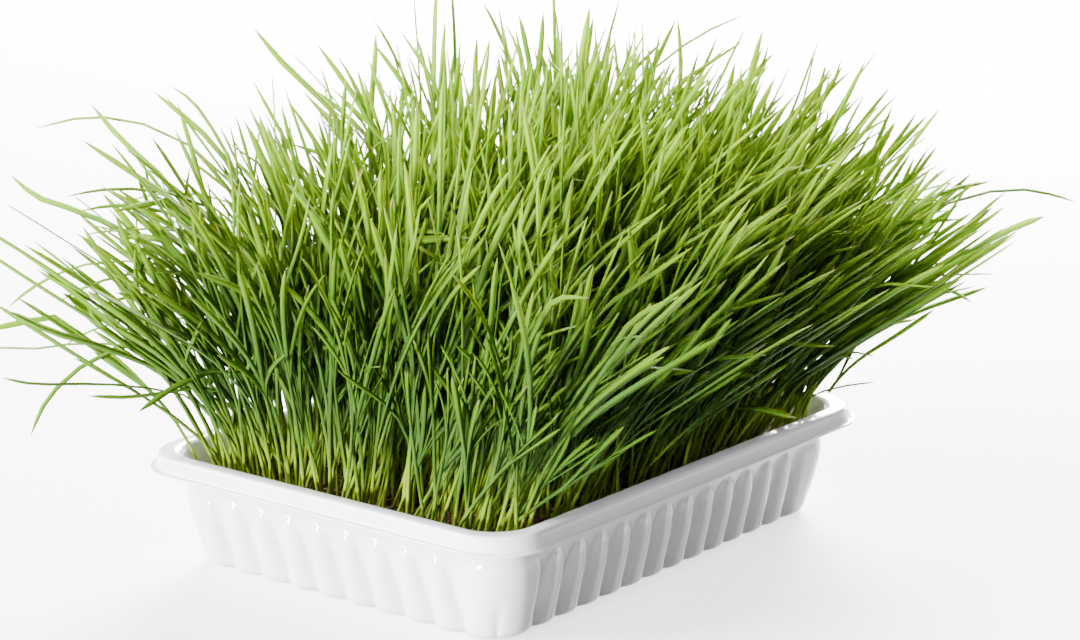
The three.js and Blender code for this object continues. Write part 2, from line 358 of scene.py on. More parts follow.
def speck_effect() -> NodeTree:
    """Small round specks strewn over a surface.

    Returns:
        A group that puts out 1 on a speck and 0 off it, and a tone for each speck.
    """
    graph = EffectGraph("Specks", {"Scale": 400.0, "Radius": 0.25, "Share": 0.3}, ("Mask", "Tone"))
    feeds = {"Vector": graph.place, "Scale": graph.inputs["Scale"]}
    cells = graph.add("ShaderNodeTexVoronoi", feeds)
    tone = graph.split(cells.outputs["Color"])[0]
    chosen = graph.math("LESS_THAN", tone, graph.inputs["Share"])
    edge = graph.times(graph.inputs["Radius"], 0.6)
    near = graph.ease(cells.outputs["Distance"], graph.inputs["Radius"], edge)
    return graph.close(mask=graph.times(near, chosen), tone=tone)


def vein_effect() -> NodeTree:
    """Fine lines that run along a leaf, and a rib along its middle.

    Returns:
        A group that puts out the height of the lines and the mask of the rib.
    """
    graph = EffectGraph("Veins", {"Across": 0.0, "Lines": 9.0, "Rib": 0.18}, ("Lines", "Rib"))
    turn = graph.times(graph.inputs["Across"], math.pi, graph.inputs["Lines"])
    lines = graph.math("MULTIPLY_ADD", graph.math("COSINE", turn), 0.5, 0.5)
    away = graph.math("ABSOLUTE", graph.inputs["Across"])
    return graph.close(lines=lines, rib=graph.ease(away, graph.inputs["Rib"], 0.0))


@dataclass(frozen=True)
class Effects:
    """The shared effects, built once."""

    mottle: NodeTree
    specks: NodeTree
    veins: NodeTree

    @classmethod
    def build(cls) -> Effects:
        """Builds each group."""
        return cls(mottle_effect(), speck_effect(), vein_effect())


# Finishes


@dataclass(frozen=True)
class SheetPlastic:
    """White gloss sheet, drawn thin over a mould: faint haze, fine rubbing and a little dust."""

    base: Colour = (0.73, 0.735, 0.76)
    haze: Colour = (0.67, 0.68, 0.71)
    dust: Colour = (0.62, 0.58, 0.5)
    roughness: Span = (0.16, 0.28)
    dust_share: float = 0.35
    dust_dulling: float = 0.3
    draw_height: float = 0.015

    def material(self, effects: Effects) -> Material:
        """Builds the material."""
        graph = MaterialGraph("white_sheet_plastic")
        clouds = graph.effect(effects.mottle, broad=26.0, fine=700.0, contrast=0.55)
        specks = graph.effect(effects.specks, scale=900.0, radius=0.2, share=0.05)
        colour = graph.mix(clouds["Broad"], self.base, self.haze)
        colour = graph.mix(graph.times(specks["Mask"], self.dust_share), colour, self.dust)
        rough = graph.blend(clouds["Fine"], *self.roughness)
        rough = graph.math("ADD", rough, graph.times(specks["Mask"], self.dust_dulling))
        return graph.finish(
            base_color=colour, roughness=rough, normal=graph.bump(clouds["Broad"], self.draw_height),
            subsurface_weight=0.12, subsurface_radius=(1.0, 1.0, 1.0), subsurface_scale=1.5 * MM,
            coat_weight=0.6, coat_roughness=0.06, specular_ior_level=0.2,
        )


@dataclass(frozen=True)
class Leaf:
    """Grass: pale at the root, deep green in the blade and lit through at the tip.

    deep, bright: The colours along a dark leaf and along a bright one, from root to tip.
    dry, line, rib: The colours of a dried tip, of the fine lines and of the middle rib.
    lit_from: The heights between which the painted shade low in the stand gives way to bright leaves, in
    metres.
    gold_from: The tones between which a leaf turns bright at any height.
    dim: What the colour is multiplied by in the shade low down between the leaves.
    dim_from: The heights between which the shade ends, in metres.
    dim_along: The places along a leaf between which the shade begins, so that stems stay pale.
    ends: The level direction from one end of the stand to the other.
    dim_to: The distances from the middle between which the shade gives way to the light, in metres.
    dry_from: The place along a leaf from which its tip dries.
    dry_over: The tone over which it does.
    """

    deep: tuple[tuple[float, Colour], ...] = (
        (0.0, (0.22, 0.26, 0.02)),
        (0.16, (0.115, 0.19, 0.010)),
        (0.4, (0.088, 0.19, 0.026)),
        (0.7, (0.088, 0.20, 0.022)),
        (1.0, (0.13, 0.28, 0.008)),
    )
    bright: tuple[tuple[float, Colour], ...] = (
        (0.0, (0.24, 0.27, 0.015)),
        (0.16, (0.17, 0.27, 0.012)),
        (0.4, (0.088, 0.185, 0.014)),
        (0.7, (0.105, 0.22, 0.008)),
        (1.0, (0.25, 0.42, 0.001)),
    )
    dry: Colour = (0.13, 0.14, 0.06)
    line: Colour = (0.01, 0.04, 0.003)
    rib: Colour = (0.14, 0.26, 0.02)
    line_height: float = 0.05
    roughness: Span = (0.42, 0.6)
    lit_from: Span = (0.08, 0.18)
    gold_from: Span = (0.86, 1.0)
    dim: Colour = (0.32, 0.35, 0.4)
    dim_from: Span = (0.105, 0.175)
    dim_along: Span = (0.1, 0.34)
    ends: Point = (0.618, -0.786, 0.0)
    dim_to: Span = (0.1, 0.17)
    dry_from: float = 0.93
    dry_over: float = 0.55

    def material(self, effects: Effects) -> Material:
        """Builds the material."""
        graph = MaterialGraph("grass_leaf")
        run, tone, across = (graph.attribute(name) for name in ("run", "tone", "across"))
        veins = graph.effect(effects.veins, across=across, lines=7.0, rib=0.16)
        clouds = graph.effect(effects.mottle, broad=45.0, fine=500.0, contrast=0.5)
        mood = graph.blend(0.35, tone, clouds["Broad"])
        spot = graph.add("ShaderNodeTexCoord").outputs["Object"]
        rise = graph.split(spot)[2]
        feeds = {0: spot, 1: self.ends}
        aside = graph.add("ShaderNodeVectorMath", feeds, operation="DOT_PRODUCT").outputs[1]
        away = graph.math("ABSOLUTE", aside)
        # Painted shade: leaves low in the stand are pushed towards the deep green
        shaded = graph.times(mood, graph.ease(rise, *self.lit_from, 0.15, 1.0))
        mood = graph.math("MAXIMUM", shaded, graph.ease(tone, *self.gold_from, 0.0, 0.6))
        colour = graph.mix(mood, graph.ramp(run, self.deep), graph.ramp(run, self.bright))
        dimmed = graph.times(
            graph.ease(rise, *self.dim_from, 1.0, 0.0), graph.ease(run, *self.dim_along),
            graph.ease(away, *self.dim_to, 1.0, 0.0))
        colour = graph.mix(dimmed, colour, self.dim, "MULTIPLY")
        colour = graph.mix(graph.times(veins["Lines"], 0.18), colour, self.line)
        colour = graph.mix(graph.times(veins["Rib"], 0.3), colour, self.rib)
        worn = graph.times(
            graph.ease(run, self.dry_from, 1.0), graph.math("GREATER_THAN", tone, self.dry_over), 0.7)
        colour = graph.mix(worn, colour, self.dry)
        rough = graph.blend(clouds["Fine"], *self.roughness)
        return graph.finish(
            base_color=colour, roughness=rough, normal=graph.bump(veins["Lines"], self.line_height),
            specular_ior_level=0.05, subsurface_weight=0.2,
            subsurface_radius=(0.8, 1.0, 0.2), subsurface_scale=0.9 * MM,
        )


@dataclass(frozen=True)
class Earth:
    """Damp potting mix: dark, with red-brown bark and pale grit."""

    name: str = "potting_mix"
    dark: Colour = (0.022, 0.011, 0.006)
    bark: Colour = (0.16, 0.055, 0.022)
    grit: Colour = (0.42, 0.3, 0.17)
    roughness: Span = (0.62, 0.95)
    grain_height: float = 0.6

    def material(self, effects: Effects) -> Material:
        """Builds the material."""
        graph = MaterialGraph(self.name)
        clouds = graph.effect(effects.mottle, broad=170.0, fine=900.0, contrast=0.7)
        specks = graph.effect(effects.specks, scale=420.0, radius=0.34, share=0.12)
        tone = graph.attribute("tone")
        reddish = graph.times(graph.blend(0.5, clouds["Broad"], tone), 0.95)
        colour = graph.mix(reddish, self.dark, self.bark)
        colour = graph.mix(graph.times(specks["Mask"], 0.6), colour, self.grit)
        rough = graph.blend(clouds["Fine"], *self.roughness)
        height = graph.blend(0.6, clouds["Broad"], clouds["Fine"])
        return graph.finish(base_color=colour, roughness=rough,
                            normal=graph.bump(height, self.grain_height))


@dataclass(frozen=True)
class Grain:
    """Sprouted wheat grain: a tan husk, darker in its crease, with fine bran specks."""

    husk: Colour = (0.27, 0.15, 0.055)
    split: Colour = (0.42, 0.33, 0.15)
    crease: Colour = (0.14, 0.055, 0.02)
    roughness: Span = (0.42, 0.68)

    def material(self, effects: Effects) -> Material:
        """Builds the material."""
        graph = MaterialGraph("wheat_grain")
        across, tone = graph.attribute("across"), graph.attribute("tone")
        veins = graph.effect(effects.veins, across=across, lines=5.0, rib=0.22)
        clouds = graph.effect(effects.mottle, broad=600.0, fine=2200.0, contrast=0.5)
        colour = graph.mix(tone, self.husk, self.split)
        colour = graph.mix(graph.times(veins["Rib"], 0.8), colour, self.crease)
        colour = graph.mix(graph.times(clouds["Broad"], 0.3), colour, self.crease)
        rough = graph.blend(clouds["Fine"], *self.roughness)
        return graph.finish(base_color=colour, roughness=rough, normal=graph.bump(clouds["Fine"], 0.08))


@dataclass(frozen=True)
class Rootlet:
    """Young roots: pale, waxy, stained by the soil in places."""

    pale: Colour = (0.62, 0.55, 0.40)
    stain: Colour = (0.26, 0.15, 0.07)
    roughness: Span = (0.45, 0.7)

    def material(self, effects: Effects) -> Material:
        """Builds the material."""
        graph = MaterialGraph("young_root")
        clouds = graph.effect(effects.mottle, broad=180.0, fine=1500.0, contrast=0.6)
        colour = graph.mix(clouds["Broad"], self.pale, self.stain)
        rough = graph.blend(clouds["Fine"], *self.roughness)
        return graph.finish(base_color=colour, roughness=rough, normal=graph.bump(clouds["Fine"], 0.05))


@dataclass(frozen=True)
class Ground:
    """Plain pale floor, like a light table: bright to the viewer, with little light thrown back up."""

    pale: Colour = (0.9, 0.9, 0.9)
    faint: Colour = (0.87, 0.87, 0.875)
    bounce: Colour = (0.08, 0.08, 0.08)
    glow: float = 2.0

    def material(self, effects: Effects) -> Material:
        """Builds the material."""
        graph = MaterialGraph("pale_floor")
        clouds = graph.effect(effects.mottle, broad=1.2, fine=60.0, contrast=0.4)
        colour = graph.mix(clouds["Broad"], self.pale, self.faint)
        path = graph.add("ShaderNodeLightPath").outputs
        seen = graph.math("MAXIMUM", path["Is Camera Ray"], path["Is Glossy Ray"])
        return graph.finish(
            base_color=graph.mix(seen, self.bounce, colour), roughness=0.85,
            emission_color=graph.mix(seen, (0.0, 0.0, 0.0), colour), emission_strength=self.glow)


@dataclass(frozen=True)
class Palette:
    """The materials of the object."""

    tray: Material
    leaf: Material
    earth: Material
    mat: Material
    grain: Material
    root: Material

    @classmethod
    def build(cls, effects: Effects) -> Palette:
        """Builds each finish."""
        matted = Earth(name="root_mat", dark=(0.035, 0.018, 0.009), bark=(0.2, 0.085, 0.035))
        finishes = (SheetPlastic(), Leaf(), Earth(), matted, Grain(), Rootlet())
        return cls(*(finish.material(effects) for finish in finishes))


# Meshes


def plain_mesh(name: str, points: ndarray, faces: list, edges: list | None = None) -> Mesh:
    """A mesh from points in millimetres.

    Args:
        name: The mesh's name.
        points: The points, three numbers each.
        faces: The corners of each face.
        edges: The ends of each loose edge.

    Returns:
        The mesh, in metres.
    """
    mesh = bpy.data.meshes.new(name)
    mesh.from_pydata((np.asarray(points, float) * MM).tolist(), edges or [], faces)
    mesh.update()
    return mesh


def write_attribute(mesh: Mesh, name: str, values: ndarray) -> None:
    """Stores a number or a vector for each point of a mesh.

    Args:
        mesh: The mesh.
        name: The attribute's name.
        values: One row for each point.
    """
    values = np.asarray(values, np.float32)
    kind, field_name = ("FLOAT", "value") if values.ndim == 1 else ("FLOAT_VECTOR", "vector")
    layer = mesh.attributes.new(name, kind, "POINT")
    layer.data.foreach_set(field_name, values.ravel())


def placed_object(name: str, data: ID) -> Object:
    """A new object at the origin of the scene."""
    placed = bpy.data.objects.new(name, data)
    bpy.context.scene.collection.objects.link(placed)
    return placed


def grown_object(name: str, mesh: Mesh, tree: NodeTree,
                 values: dict[str, float]) -> Object:
    """Runs a geometry tree over a mesh and keeps the result as a plain mesh.

    Args:
        name: The object's name.
        mesh: What the tree starts from.
        tree: The geometry tree.
        values: Its named inputs.

    Returns:
        The object, without a modifier.
    """
    grown = placed_object(name, mesh)
    modifier = grown.modifiers.new(tree.name, "NODES")
    modifier.node_group = tree
    for item in tree.interface.items_tree:
        if item.in_out == "INPUT" and item.name in values:
            modifier[item.identifier] = values[item.name]
    graph = bpy.context.evaluated_depsgraph_get()
    result = bpy.data.meshes.new_from_object(
        grown.evaluated_get(graph), preserve_all_data_layers=True, depsgraph=graph)
    grown.modifiers.remove(modifier)
    grown.data = result
    result.name = name
    bpy.data.meshes.remove(mesh)
    return grown


def joined_object(name: str, parts: list[Object]) -> Object:
    """Joins several objects into the first one.

    Args:
        name: The name of the result.
        parts: The objects, which all sit at the origin.

    Returns:
        The joined object.
    """
    target = parts[0]
    with bpy.context.temp_override(
            active_object=target, object=target, selected_editable_objects=parts, selected_objects=parts):
        bpy.ops.object.join()
    target.name = name
    target.data.name = name
    return target


def hand_in(piece: Object, slot: str, *nodes: str) -> None:
    """Puts a piece on its body, in place of its solids.

    Args:
        piece: The finished piece.
        slot: The name of a material slot, which is not used.
        *nodes: The CAD nodes that it stands for.
    """
    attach(piece, BODY)
    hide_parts(*nodes)
    piece.data.calc_loop_triangles()
    LOG.info("%s: %d triangles", piece.name, len(piece.data.loop_triangles))


@dataclass(frozen=True)
class Lens:
    """The camera's place and lens. Lengths are in millimetres, angles in degrees."""

    picture_width: int = 1080
    picture_height: int = 640
    focal_pixels: float = 2885.8
    axis_column: float = 545.5
    sensor: float = 36.0
    azimuth: float = -51.77
    elevation: float = 14.25
    target: Point = (63.9, 34.7, 65.0)
    distance: float = 1144.2

    @property
    def back(self) -> ndarray:
        """The direction from the target to the camera."""
        rise = math.radians(self.elevation)
        return np.array([*(self.toward * math.cos(rise)), math.sin(rise)])

    @property
    def eye(self) -> ndarray:
        """The camera's place."""
        return np.array(self.target) + self.back * self.distance

    @property
    def across(self) -> ndarray:
        """The level direction that runs to the right in the picture."""
        turn = math.radians(self.azimuth)
        return np.array([math.cos(turn), math.sin(turn)])

    @property
    def toward(self) -> ndarray:
        """The level direction that runs towards the viewer."""
        turn = math.radians(self.azimuth)
        return np.array([math.sin(turn), -math.cos(turn)])

    def depth(self, point: ndarray) -> float:
        """How far beyond the camera a point lies, along the view."""
        return float((point - self.eye) @ -self.back)

    def place(self, column: float, row: float, depth: float) -> ndarray:
        """The point that shows at a column and a row of the picture.

        Args:
            column: The column.
            row: The row.
            depth: How far beyond the camera it lies, along the view.

        Returns:
            The point.
        """
        right = np.array([*self.across, 0])
        up = np.cross(self.back, right)
        aside = (column - self.axis_column) / self.focal_pixels
        above = (self.picture_height / 2 - row) / self.focal_pixels
        return self.eye + depth * (-self.back + aside * right + above * up)


def rounded_grid(half: ndarray, radius: float, steps: int) -> ndarray:
    """An even grid of points over a rounded rectangle.

    Args:
        half: The rectangle's half sizes.
        radius: The radius of its corners.
        steps: The number of cells along each side.

    Returns:
        The points, as a square array of two numbers each.
    """
    line = np.linspace(-1, 1, steps + 1)
    grid = np.stack(np.meshgrid(line, line, indexing="ij"), -1)
    ring = np.abs(grid).max(-1, keepdims=True)
    points = grid * half
    corner = np.maximum(np.abs(points) - ring * (half - radius), 0)
    inside = corner.min(-1, keepdims=True) > 0
    length = np.linalg.norm(corner, axis=-1, keepdims=True)
    bent = corner * corner.max(-1, keepdims=True) / np.maximum(length, 1e-9)
    turned = np.sign(points) * (ring * (half - radius) + bent)
    return np.where(inside, turned, points)


# Tray


class Side(Enum):
    """The sides of the tray, anticlockwise from the one at +X."""

    RIGHT = 0
    BACK = 1
    LEFT = 2
    FRONT = 3

    @property
    def is_long(self) -> bool:
        """Whether the side runs along X."""
        return self in (Side.BACK, Side.FRONT)

    @property
    def following(self) -> Side:
        """The next side, anticlockwise."""
        return Side((self.value + 1) % len(Side))


@dataclass(frozen=True)
class Station:
    """A place on the way round the tray.

    side: The side that it is on, or whose corner it is on.
    along: The distance along the side from its middle, or None on a corner.
    turn: The angle round the corner.
    away: The distance from the nearest valley between two flutes.
    half_pitch: Half the width of a flute.
    depth: The depth of that valley at the foot.
    reach: The height at which the valley fades out.
    """

    side: Side
    along: float | None
    turn: float
    away: float
    half_pitch: float
    depth: float
    reach: float


# What the flutes need to know of each point: lengths first, then masks
FLUTE_LENGTHS = ("rise", "skin", "away", "half_pitch", "valley", "reach")
FLUTE_MASKS = ("wall", "plain")


@dataclass
class Tray:
    """The thermoformed tray: foot, fluted wall, plain band, ledge, skirt and lip.

    foot_half: Half the foot's rectangle. Offsets are measured outwards from it.
    draft, skirt_draft: How far the wall and the skirt lean out, for each millimetre of height.
    flutes, pitches: How many flutes a short and a long side have, and how wide they are.
    roundness: The radius of a flute's face, as a share of half its width.
    narrowest: How wide a flute's face still is at its top, as a share of its width at the foot.
    fade_power: How late a valley fades out on its way up.
    shoulder, arch_end: Where a flute's arched top begins and ends, as shares of its height.
    swell: How far a flute stands out from the wall under its top.
    swell_end: Where it has come out that far, as a share of its height.
    groove_depth, groove_top, groove_half: The small groove in each corner of the foot.
    crease: The angle in degrees over which an edge stays sharp.
    bunching: How much closer together the places are near the valleys.
    levels: The heights of the rings of points on the wall.
    """

    foot_half: Span = (97.6, 72.6)
    height: float = 42.8
    sheet: float = 0.8
    overhang: float = 15.9
    draft: float = 0.15
    wall_corner: float = 14.0
    rim_corner: float = 20.0
    lip_height: float = 36.6
    skirt_draft: float = 0.13
    ledge_outer: float = 13.4
    ledge_inner: float = 7.0
    ledge_round: float = 1.3
    lip_round: float = 0.35
    foot_radius: float = 3.8
    valley_radius: float = 2.0
    flutes: tuple[int, int] = (8, 12)
    pitches: Span = (13.6, 12.7)
    flute_depth: float = 4.6
    flute_top: float = 31.0
    roundness: float = 1.05
    narrowest: float = 0.56
    fade_power: float = 1.3
    shoulder: float = 0.7
    arch_end: float = 0.96
    swell: float = 1.5
    swell_end: float = 0.6
    band_height: float = 31.5
    flute_steps: int = 20
    corner_steps: int = 24
    bunching: float = 1.25
    groove_depth: float = 1.5
    groove_top: float = 17.0
    groove_half: float = 3.4
    crease: float = 38.0
    levels: tuple[float, ...] = (
        0, 0.15, 0.4, 0.8, 1.3, 1.9, 2.7, 3.8, 5.5, 8, 11, 14, 17, 20, 22.5, 24.5, 26, 27.2, 28.2,
        29, 29.7, 30.3, 30.8, 31.2,
    )

    def stations(self) -> list[Station]:
        """The places round the tray, close together in the valleys."""
        places = []
        for side in Side:
            count, pitch = self.flutes[side.is_long], self.pitches[side.is_long]
            end = count / 2 * pitch
            for flute in range(count):
                for step in range(self.flute_steps):
                    share = 2 * step / self.flute_steps - 1
                    bunched = math.copysign(1 - (1 - abs(share)) ** self.bunching, share)
                    away = (1 - abs(bunched)) * pitch / 2
                    middle = (flute + 0.5) * pitch - end
                    places.append(self._on_wall(side, middle + bunched * pitch / 2, away))
            steps = self.flute_steps // 4
            for step in range(steps):
                away = self._margin(side) * (step / steps) ** self.bunching
                places.append(self._on_wall(side, end + away, away))
            places += self._round_corner(side)
            following = side.following
            start = self.flutes[following.is_long] / 2 * self.pitches[following.is_long]
            for step in range(steps, 0, -1):
                away = self._margin(following) * (step / steps) ** self.bunching
                places.append(self._on_wall(following, -start - away, away))
        return places

    def _margin(self, side: Side) -> float:
        """The distance from a side's last valley to its corner's arc."""
        end = self.flutes[side.is_long] / 2 * self.pitches[side.is_long]
        return self.foot_half[not side.is_long] - self.wall_corner - end

    def _on_wall(self, side: Side, along: float, away: float) -> Station:
        """A place on a straight side."""
        half_pitch = self.pitches[side.is_long] / 2
        return Station(side, along, 0.0, away, half_pitch, self.flute_depth, self.flute_top)

    def _round_corner(self, side: Side) -> list[Station]:
        """The places on the corner after a side, with the small groove in its middle."""
        places = []
        for step in range(1, self.corner_steps):
            turn = step / self.corner_steps * math.pi / 2
            groove = abs(turn - math.pi / 4) * self.wall_corner
            if groove < self.groove_half:
                facts = (groove, self.groove_half, self.groove_depth, self.groove_top)
            else:
                ends = ((side, turn), (side.following, math.pi / 2 - turn))
                nearest, bend = min(ends, key=lambda end: end[1])
                away = self._margin(nearest) + bend * self.wall_corner
                facts = (away, self.pitches[nearest.is_long] / 2, self.flute_depth, self.flute_top)
            places.append(Station(side, None, turn, *facts))
        return places

    def section(self) -> list[tuple[float, float, float]]:
        """The section from the foot up the outside, over the rim and down to the floor.

        Returns:
            Rows of offset from the foot's rectangle, height, and how deep in the sheet it lies.
        """
        outer = [(level * self.draft, level, 0.0) for level in self.levels]
        outer.append((self.band_height * self.draft, self.band_height, 0.0))
        under = self.height - self.sheet
        skirt = self.ledge_outer + (under - self.lip_height) * self.skirt_draft
        inner_round = self.ledge_round + self.sheet
        rim = [
            # Up the wall and out under the ledge
            *arc((under * self.draft - 0.3, under - 1.3), (under * self.draft + 0.9, under), 0.6),
            *arc((self.ledge_outer - self.sheet - 0.9, under),
                 (self.ledge_outer - self.sheet, under - 1), 0.6),
            # Down the skirt's inside and out along the lip
            (skirt - self.sheet, self.lip_height + 0.1),
            *arc((skirt - self.sheet + 0.1, self.lip_height), (skirt - self.sheet + 0.2, self.lip_height), 0),
            *arc((self.overhang - self.lip_round, self.lip_height),
                 (self.overhang, self.lip_height + self.sheet / 2), 0.6),
            *arc((self.overhang, self.lip_height + self.sheet / 2),
                 (self.overhang - self.lip_round, self.lip_height + self.sheet), 0.6),
            # Up the skirt's outside, over the ledge and down inside the wall
            *arc((skirt + 0.7, self.lip_height + self.sheet), (skirt - 0.05, self.lip_height + 1.5), -0.6),
            *arc((self.ledge_outer + 0.02, self.height - self.ledge_round),
                 (self.ledge_outer - self.ledge_round, self.height), 0.7),
            *arc((self.ledge_inner + inner_round - 0.6, self.height),
                 (self.ledge_inner - self.sheet - 0.15, self.height - inner_round), 0.7),
        ]
        inner = [(level * self.draft - self.sheet, level, self.sheet)
                 for level in reversed(self.levels[2:]) if level > self.sheet]
        band = (self.band_height * self.draft - self.sheet, self.band_height, self.sheet)
        floor = (self.sheet * self.draft - self.sheet, self.sheet, self.sheet)
        return outer + [(offset, height, 0.0) for offset, height in rim] + [band] + inner + [floor]

    def point(self, place: Station, offset: float, height: float) -> tuple[Vector, Vector]:
        """The point of a place at an offset and a height, and the way out from it.

        Args:
            place: The place round the tray.
            offset: How far outside the foot's rectangle it lies.
            height: Its height.

        Returns:
            The point and the outward direction.
        """
        out = self.foot_half[place.side.is_long] + offset
        across = self.foot_half[not place.side.is_long] + offset
        wall_top = self.band_height * self.draft
        growth = min(max((offset - wall_top) / (self.overhang - wall_top), 0.0), 1.0)
        radius = self.wall_corner + (self.rim_corner - self.wall_corner) * growth
        outward = Vector((math.cos(place.turn), math.sin(place.turn), 0))
        spot = Vector((out, place.along or 0.0, height))
        if place.along is None:
            centre = Vector((out - radius, across - radius, height))
            spot = centre + outward * radius
        elif growth > 0:
            straight = self.foot_half[not place.side.is_long] - self.wall_corner
            spot.y *= (across - radius) / straight
        quarter = Euler((0, 0, place.side.value * math.pi / 2)).to_matrix()
        return quarter @ spot, quarter @ outward

    def blank(self) -> Mesh:
        """The tray before its flutes: one closed skin with what the flutes need stored on it."""
        places, section = self.stations(), self.section()
        points, outwards, facts = [], [], []
        for place in places:
            for offset, height, skin in section:
                spot, outward = self.point(place, offset, height)
                points.append(spot)
                outwards.append(outward)
                is_wall = height < self.band_height and offset < height * self.draft + 0.01
                depth = place.depth if is_wall else 0.0
                is_plain = float(place.reach < self.flute_top)
                facts.append((height, skin, place.away, place.half_pitch, depth, place.reach,
                              float(is_wall), is_plain))
        rows, count = len(places), len(section)
        faces = []
        for row in range(rows):
            following = (row + 1) % rows
            for step in range(count - 1):
                faces.append((row * count + step, following * count + step,
                              following * count + step + 1, row * count + step + 1))
        for height, step, turned in ((0.0, 0, True), (self.sheet, count - 1, False)):
            centre = len(points)
            points.append(Vector((0, 0, height)))
            outwards.append(Vector((0, 0, 0)))
            facts.append((height, 0.0, 1.0, 1.0, 0.0, 1.0, 0.0, 0.0))
            for row in range(rows):
                pair = (row * count + step, (row + 1) % rows * count + step)
                faces.append((*(reversed(pair) if turned else pair), centre))
        mesh = plain_mesh("tray_blank", np.array(points), faces)
        for name, values in zip(FLUTE_LENGTHS + FLUTE_MASKS, np.array(facts).T):
            write_attribute(mesh, name, values * MM if name in FLUTE_LENGTHS else values)
        write_attribute(mesh, "outward", np.array(outwards))
        return mesh

    def flute_tree(self, material: Material) -> NodeTree:
        """The tree that presses the valleys and the rounded foot into the blank.

        Args:
            material: The tray's material.

        Returns:
            The tree.
        """
        graph = GeometryGraph("Flutes", {
            "Foot Radius": self.foot_radius * MM, "Valley Radius": self.valley_radius * MM,
            "Roundness": self.roundness, "Narrowest": self.narrowest, "Fade Power": self.fade_power,
            "Shoulder": self.shoulder, "Swell": self.swell * MM, "Flute Top": self.flute_top * MM})
        rise, skin, away, half_pitch, valley, reach = map(graph.attribute, FLUTE_LENGTHS)
        wall, plain = map(graph.attribute, FLUTE_MASKS)

        # How far up its flute a place is, and half the width of the flute's face there
        climb = graph.math("MINIMUM", graph.math("DIVIDE", rise, reach), 1.0)
        fade = graph.less(1.0, graph.math("POWER", climb, graph.inputs["Fade Power"]))
        past = graph.ease(climb, graph.inputs["Shoulder"], self.arch_end)
        arch = graph.math("SQRT", graph.less(1.0001, graph.math("POWER", past, 2.0)))
        width = graph.times(half_pitch, graph.blend(climb, 1.0, graph.inputs["Narrowest"]), arch)

        # The round face of the flute, from 0 on its crest to 1 in the valley
        centred = graph.math("MAXIMUM", graph.less(half_pitch, away), 0.0)
        near = graph.math("MINIMUM", graph.math("DIVIDE", centred, width), 1.0)
        square = graph.math("POWER", graph.inputs["Roundness"], 2.0)
        full = graph.less(graph.inputs["Roundness"], graph.math("SQRT", graph.less(square, 1.0)))
        chord = graph.math("SQRT", graph.less(square, graph.math("POWER", near, 2.0)))
        share = graph.math("DIVIDE", graph.less(graph.inputs["Roundness"], chord), full)
        pressed = graph.times(share, valley, fade)

        # The crest stands out from the wall up to its arched top
        full_climb = graph.math("MINIMUM", graph.math("DIVIDE", rise, graph.inputs["Flute Top"]), 1.0)
        past = graph.ease(full_climb, graph.inputs["Shoulder"], self.arch_end)
        swell = graph.math("SQRT", graph.less(1.0, graph.math("POWER", past, 2.0)))
        swell = graph.times(swell, graph.ease(full_climb, 0.0, self.swell_end), graph.inputs["Swell"])
        raised = graph.math("MAXIMUM", graph.less(1.0, share), plain)
        pressed = graph.less(pressed, graph.times(raised, swell))

        # The rounded foot tucks the wall in
        bend = graph.blend(share, graph.inputs["Foot Radius"], graph.inputs["Valley Radius"])
        radius = graph.less(bend, skin)
        below = graph.math("MINIMUM", graph.math("MAXIMUM", graph.less(bend, rise), 0.0), radius)
        left = graph.less(graph.math("POWER", radius, 2.0), graph.math("POWER", below, 2.0))
        tuck = graph.less(radius, graph.math("SQRT", graph.math("MAXIMUM", left, 0.0)))
        inward = graph.times(graph.math("ADD", pressed, tuck), wall)
        offset = graph.scaled(graph.attribute("outward", "FLOAT_VECTOR"), graph.times(inward, -1.0))
        shaped = graph.moved(graph.inputs["Geometry"], offset)
        return graph.close(graph.painted(shaped, material))

    def build(self, palette: Palette) -> None:
        """Makes the tray and puts it on its body in place of its solids."""
        tree = self.flute_tree(palette.tray)
        tray = grown_object("white_tray", self.blank(), tree, {})
        drop_attributes(tray.data, (*FLUTE_LENGTHS, *FLUTE_MASKS, "outward"))
        tray.data.shade_smooth()
        tray.data.set_sharp_from_angle(angle=math.radians(self.crease))
        hand_in(tray, "tray", "tray")


def arc(start: Span, end: Span, bulge: float, steps: int = 5) -> list[Span]:
    """A round edge between two points of a section.

    Args:
        start: Where it starts.
        end: Where it ends.
        bulge: How far the edge stands out to its left-hand side, as a share of a quarter round.
        steps: The number of its steps.

    Returns:
        The points of the edge.
    """
    (x0, y0), (x1, y1) = start, end
    middle = ((x0 + x1) / 2 + bulge * (y1 - y0) / 2, (y0 + y1) / 2 - bulge * (x1 - x0) / 2)
    knots = (start, middle, end)
    points = []
    for step in range(steps + 1):
        t = step / steps
        weights = ((1 - t) ** 2, 2 * t * (1 - t), t ** 2)
        points.append(tuple(sum(w * knot[axis] for w, knot in zip(weights, knots)) for axis in (0, 1)))
    return points


def drop_attributes(mesh: Mesh, names: tuple[str, ...]) -> None:
    """Removes attributes that a finished mesh has no use for."""
    for name in names:
        if name in mesh.attributes:
            mesh.attributes.remove(mesh.attributes[name])


# Growing medium and clods


@dataclass(frozen=True)
class Litter:
    """What lies strewn over a bed: how many of each kind per square centimetre."""

    grains: float
    crumbs: float
    roots: float


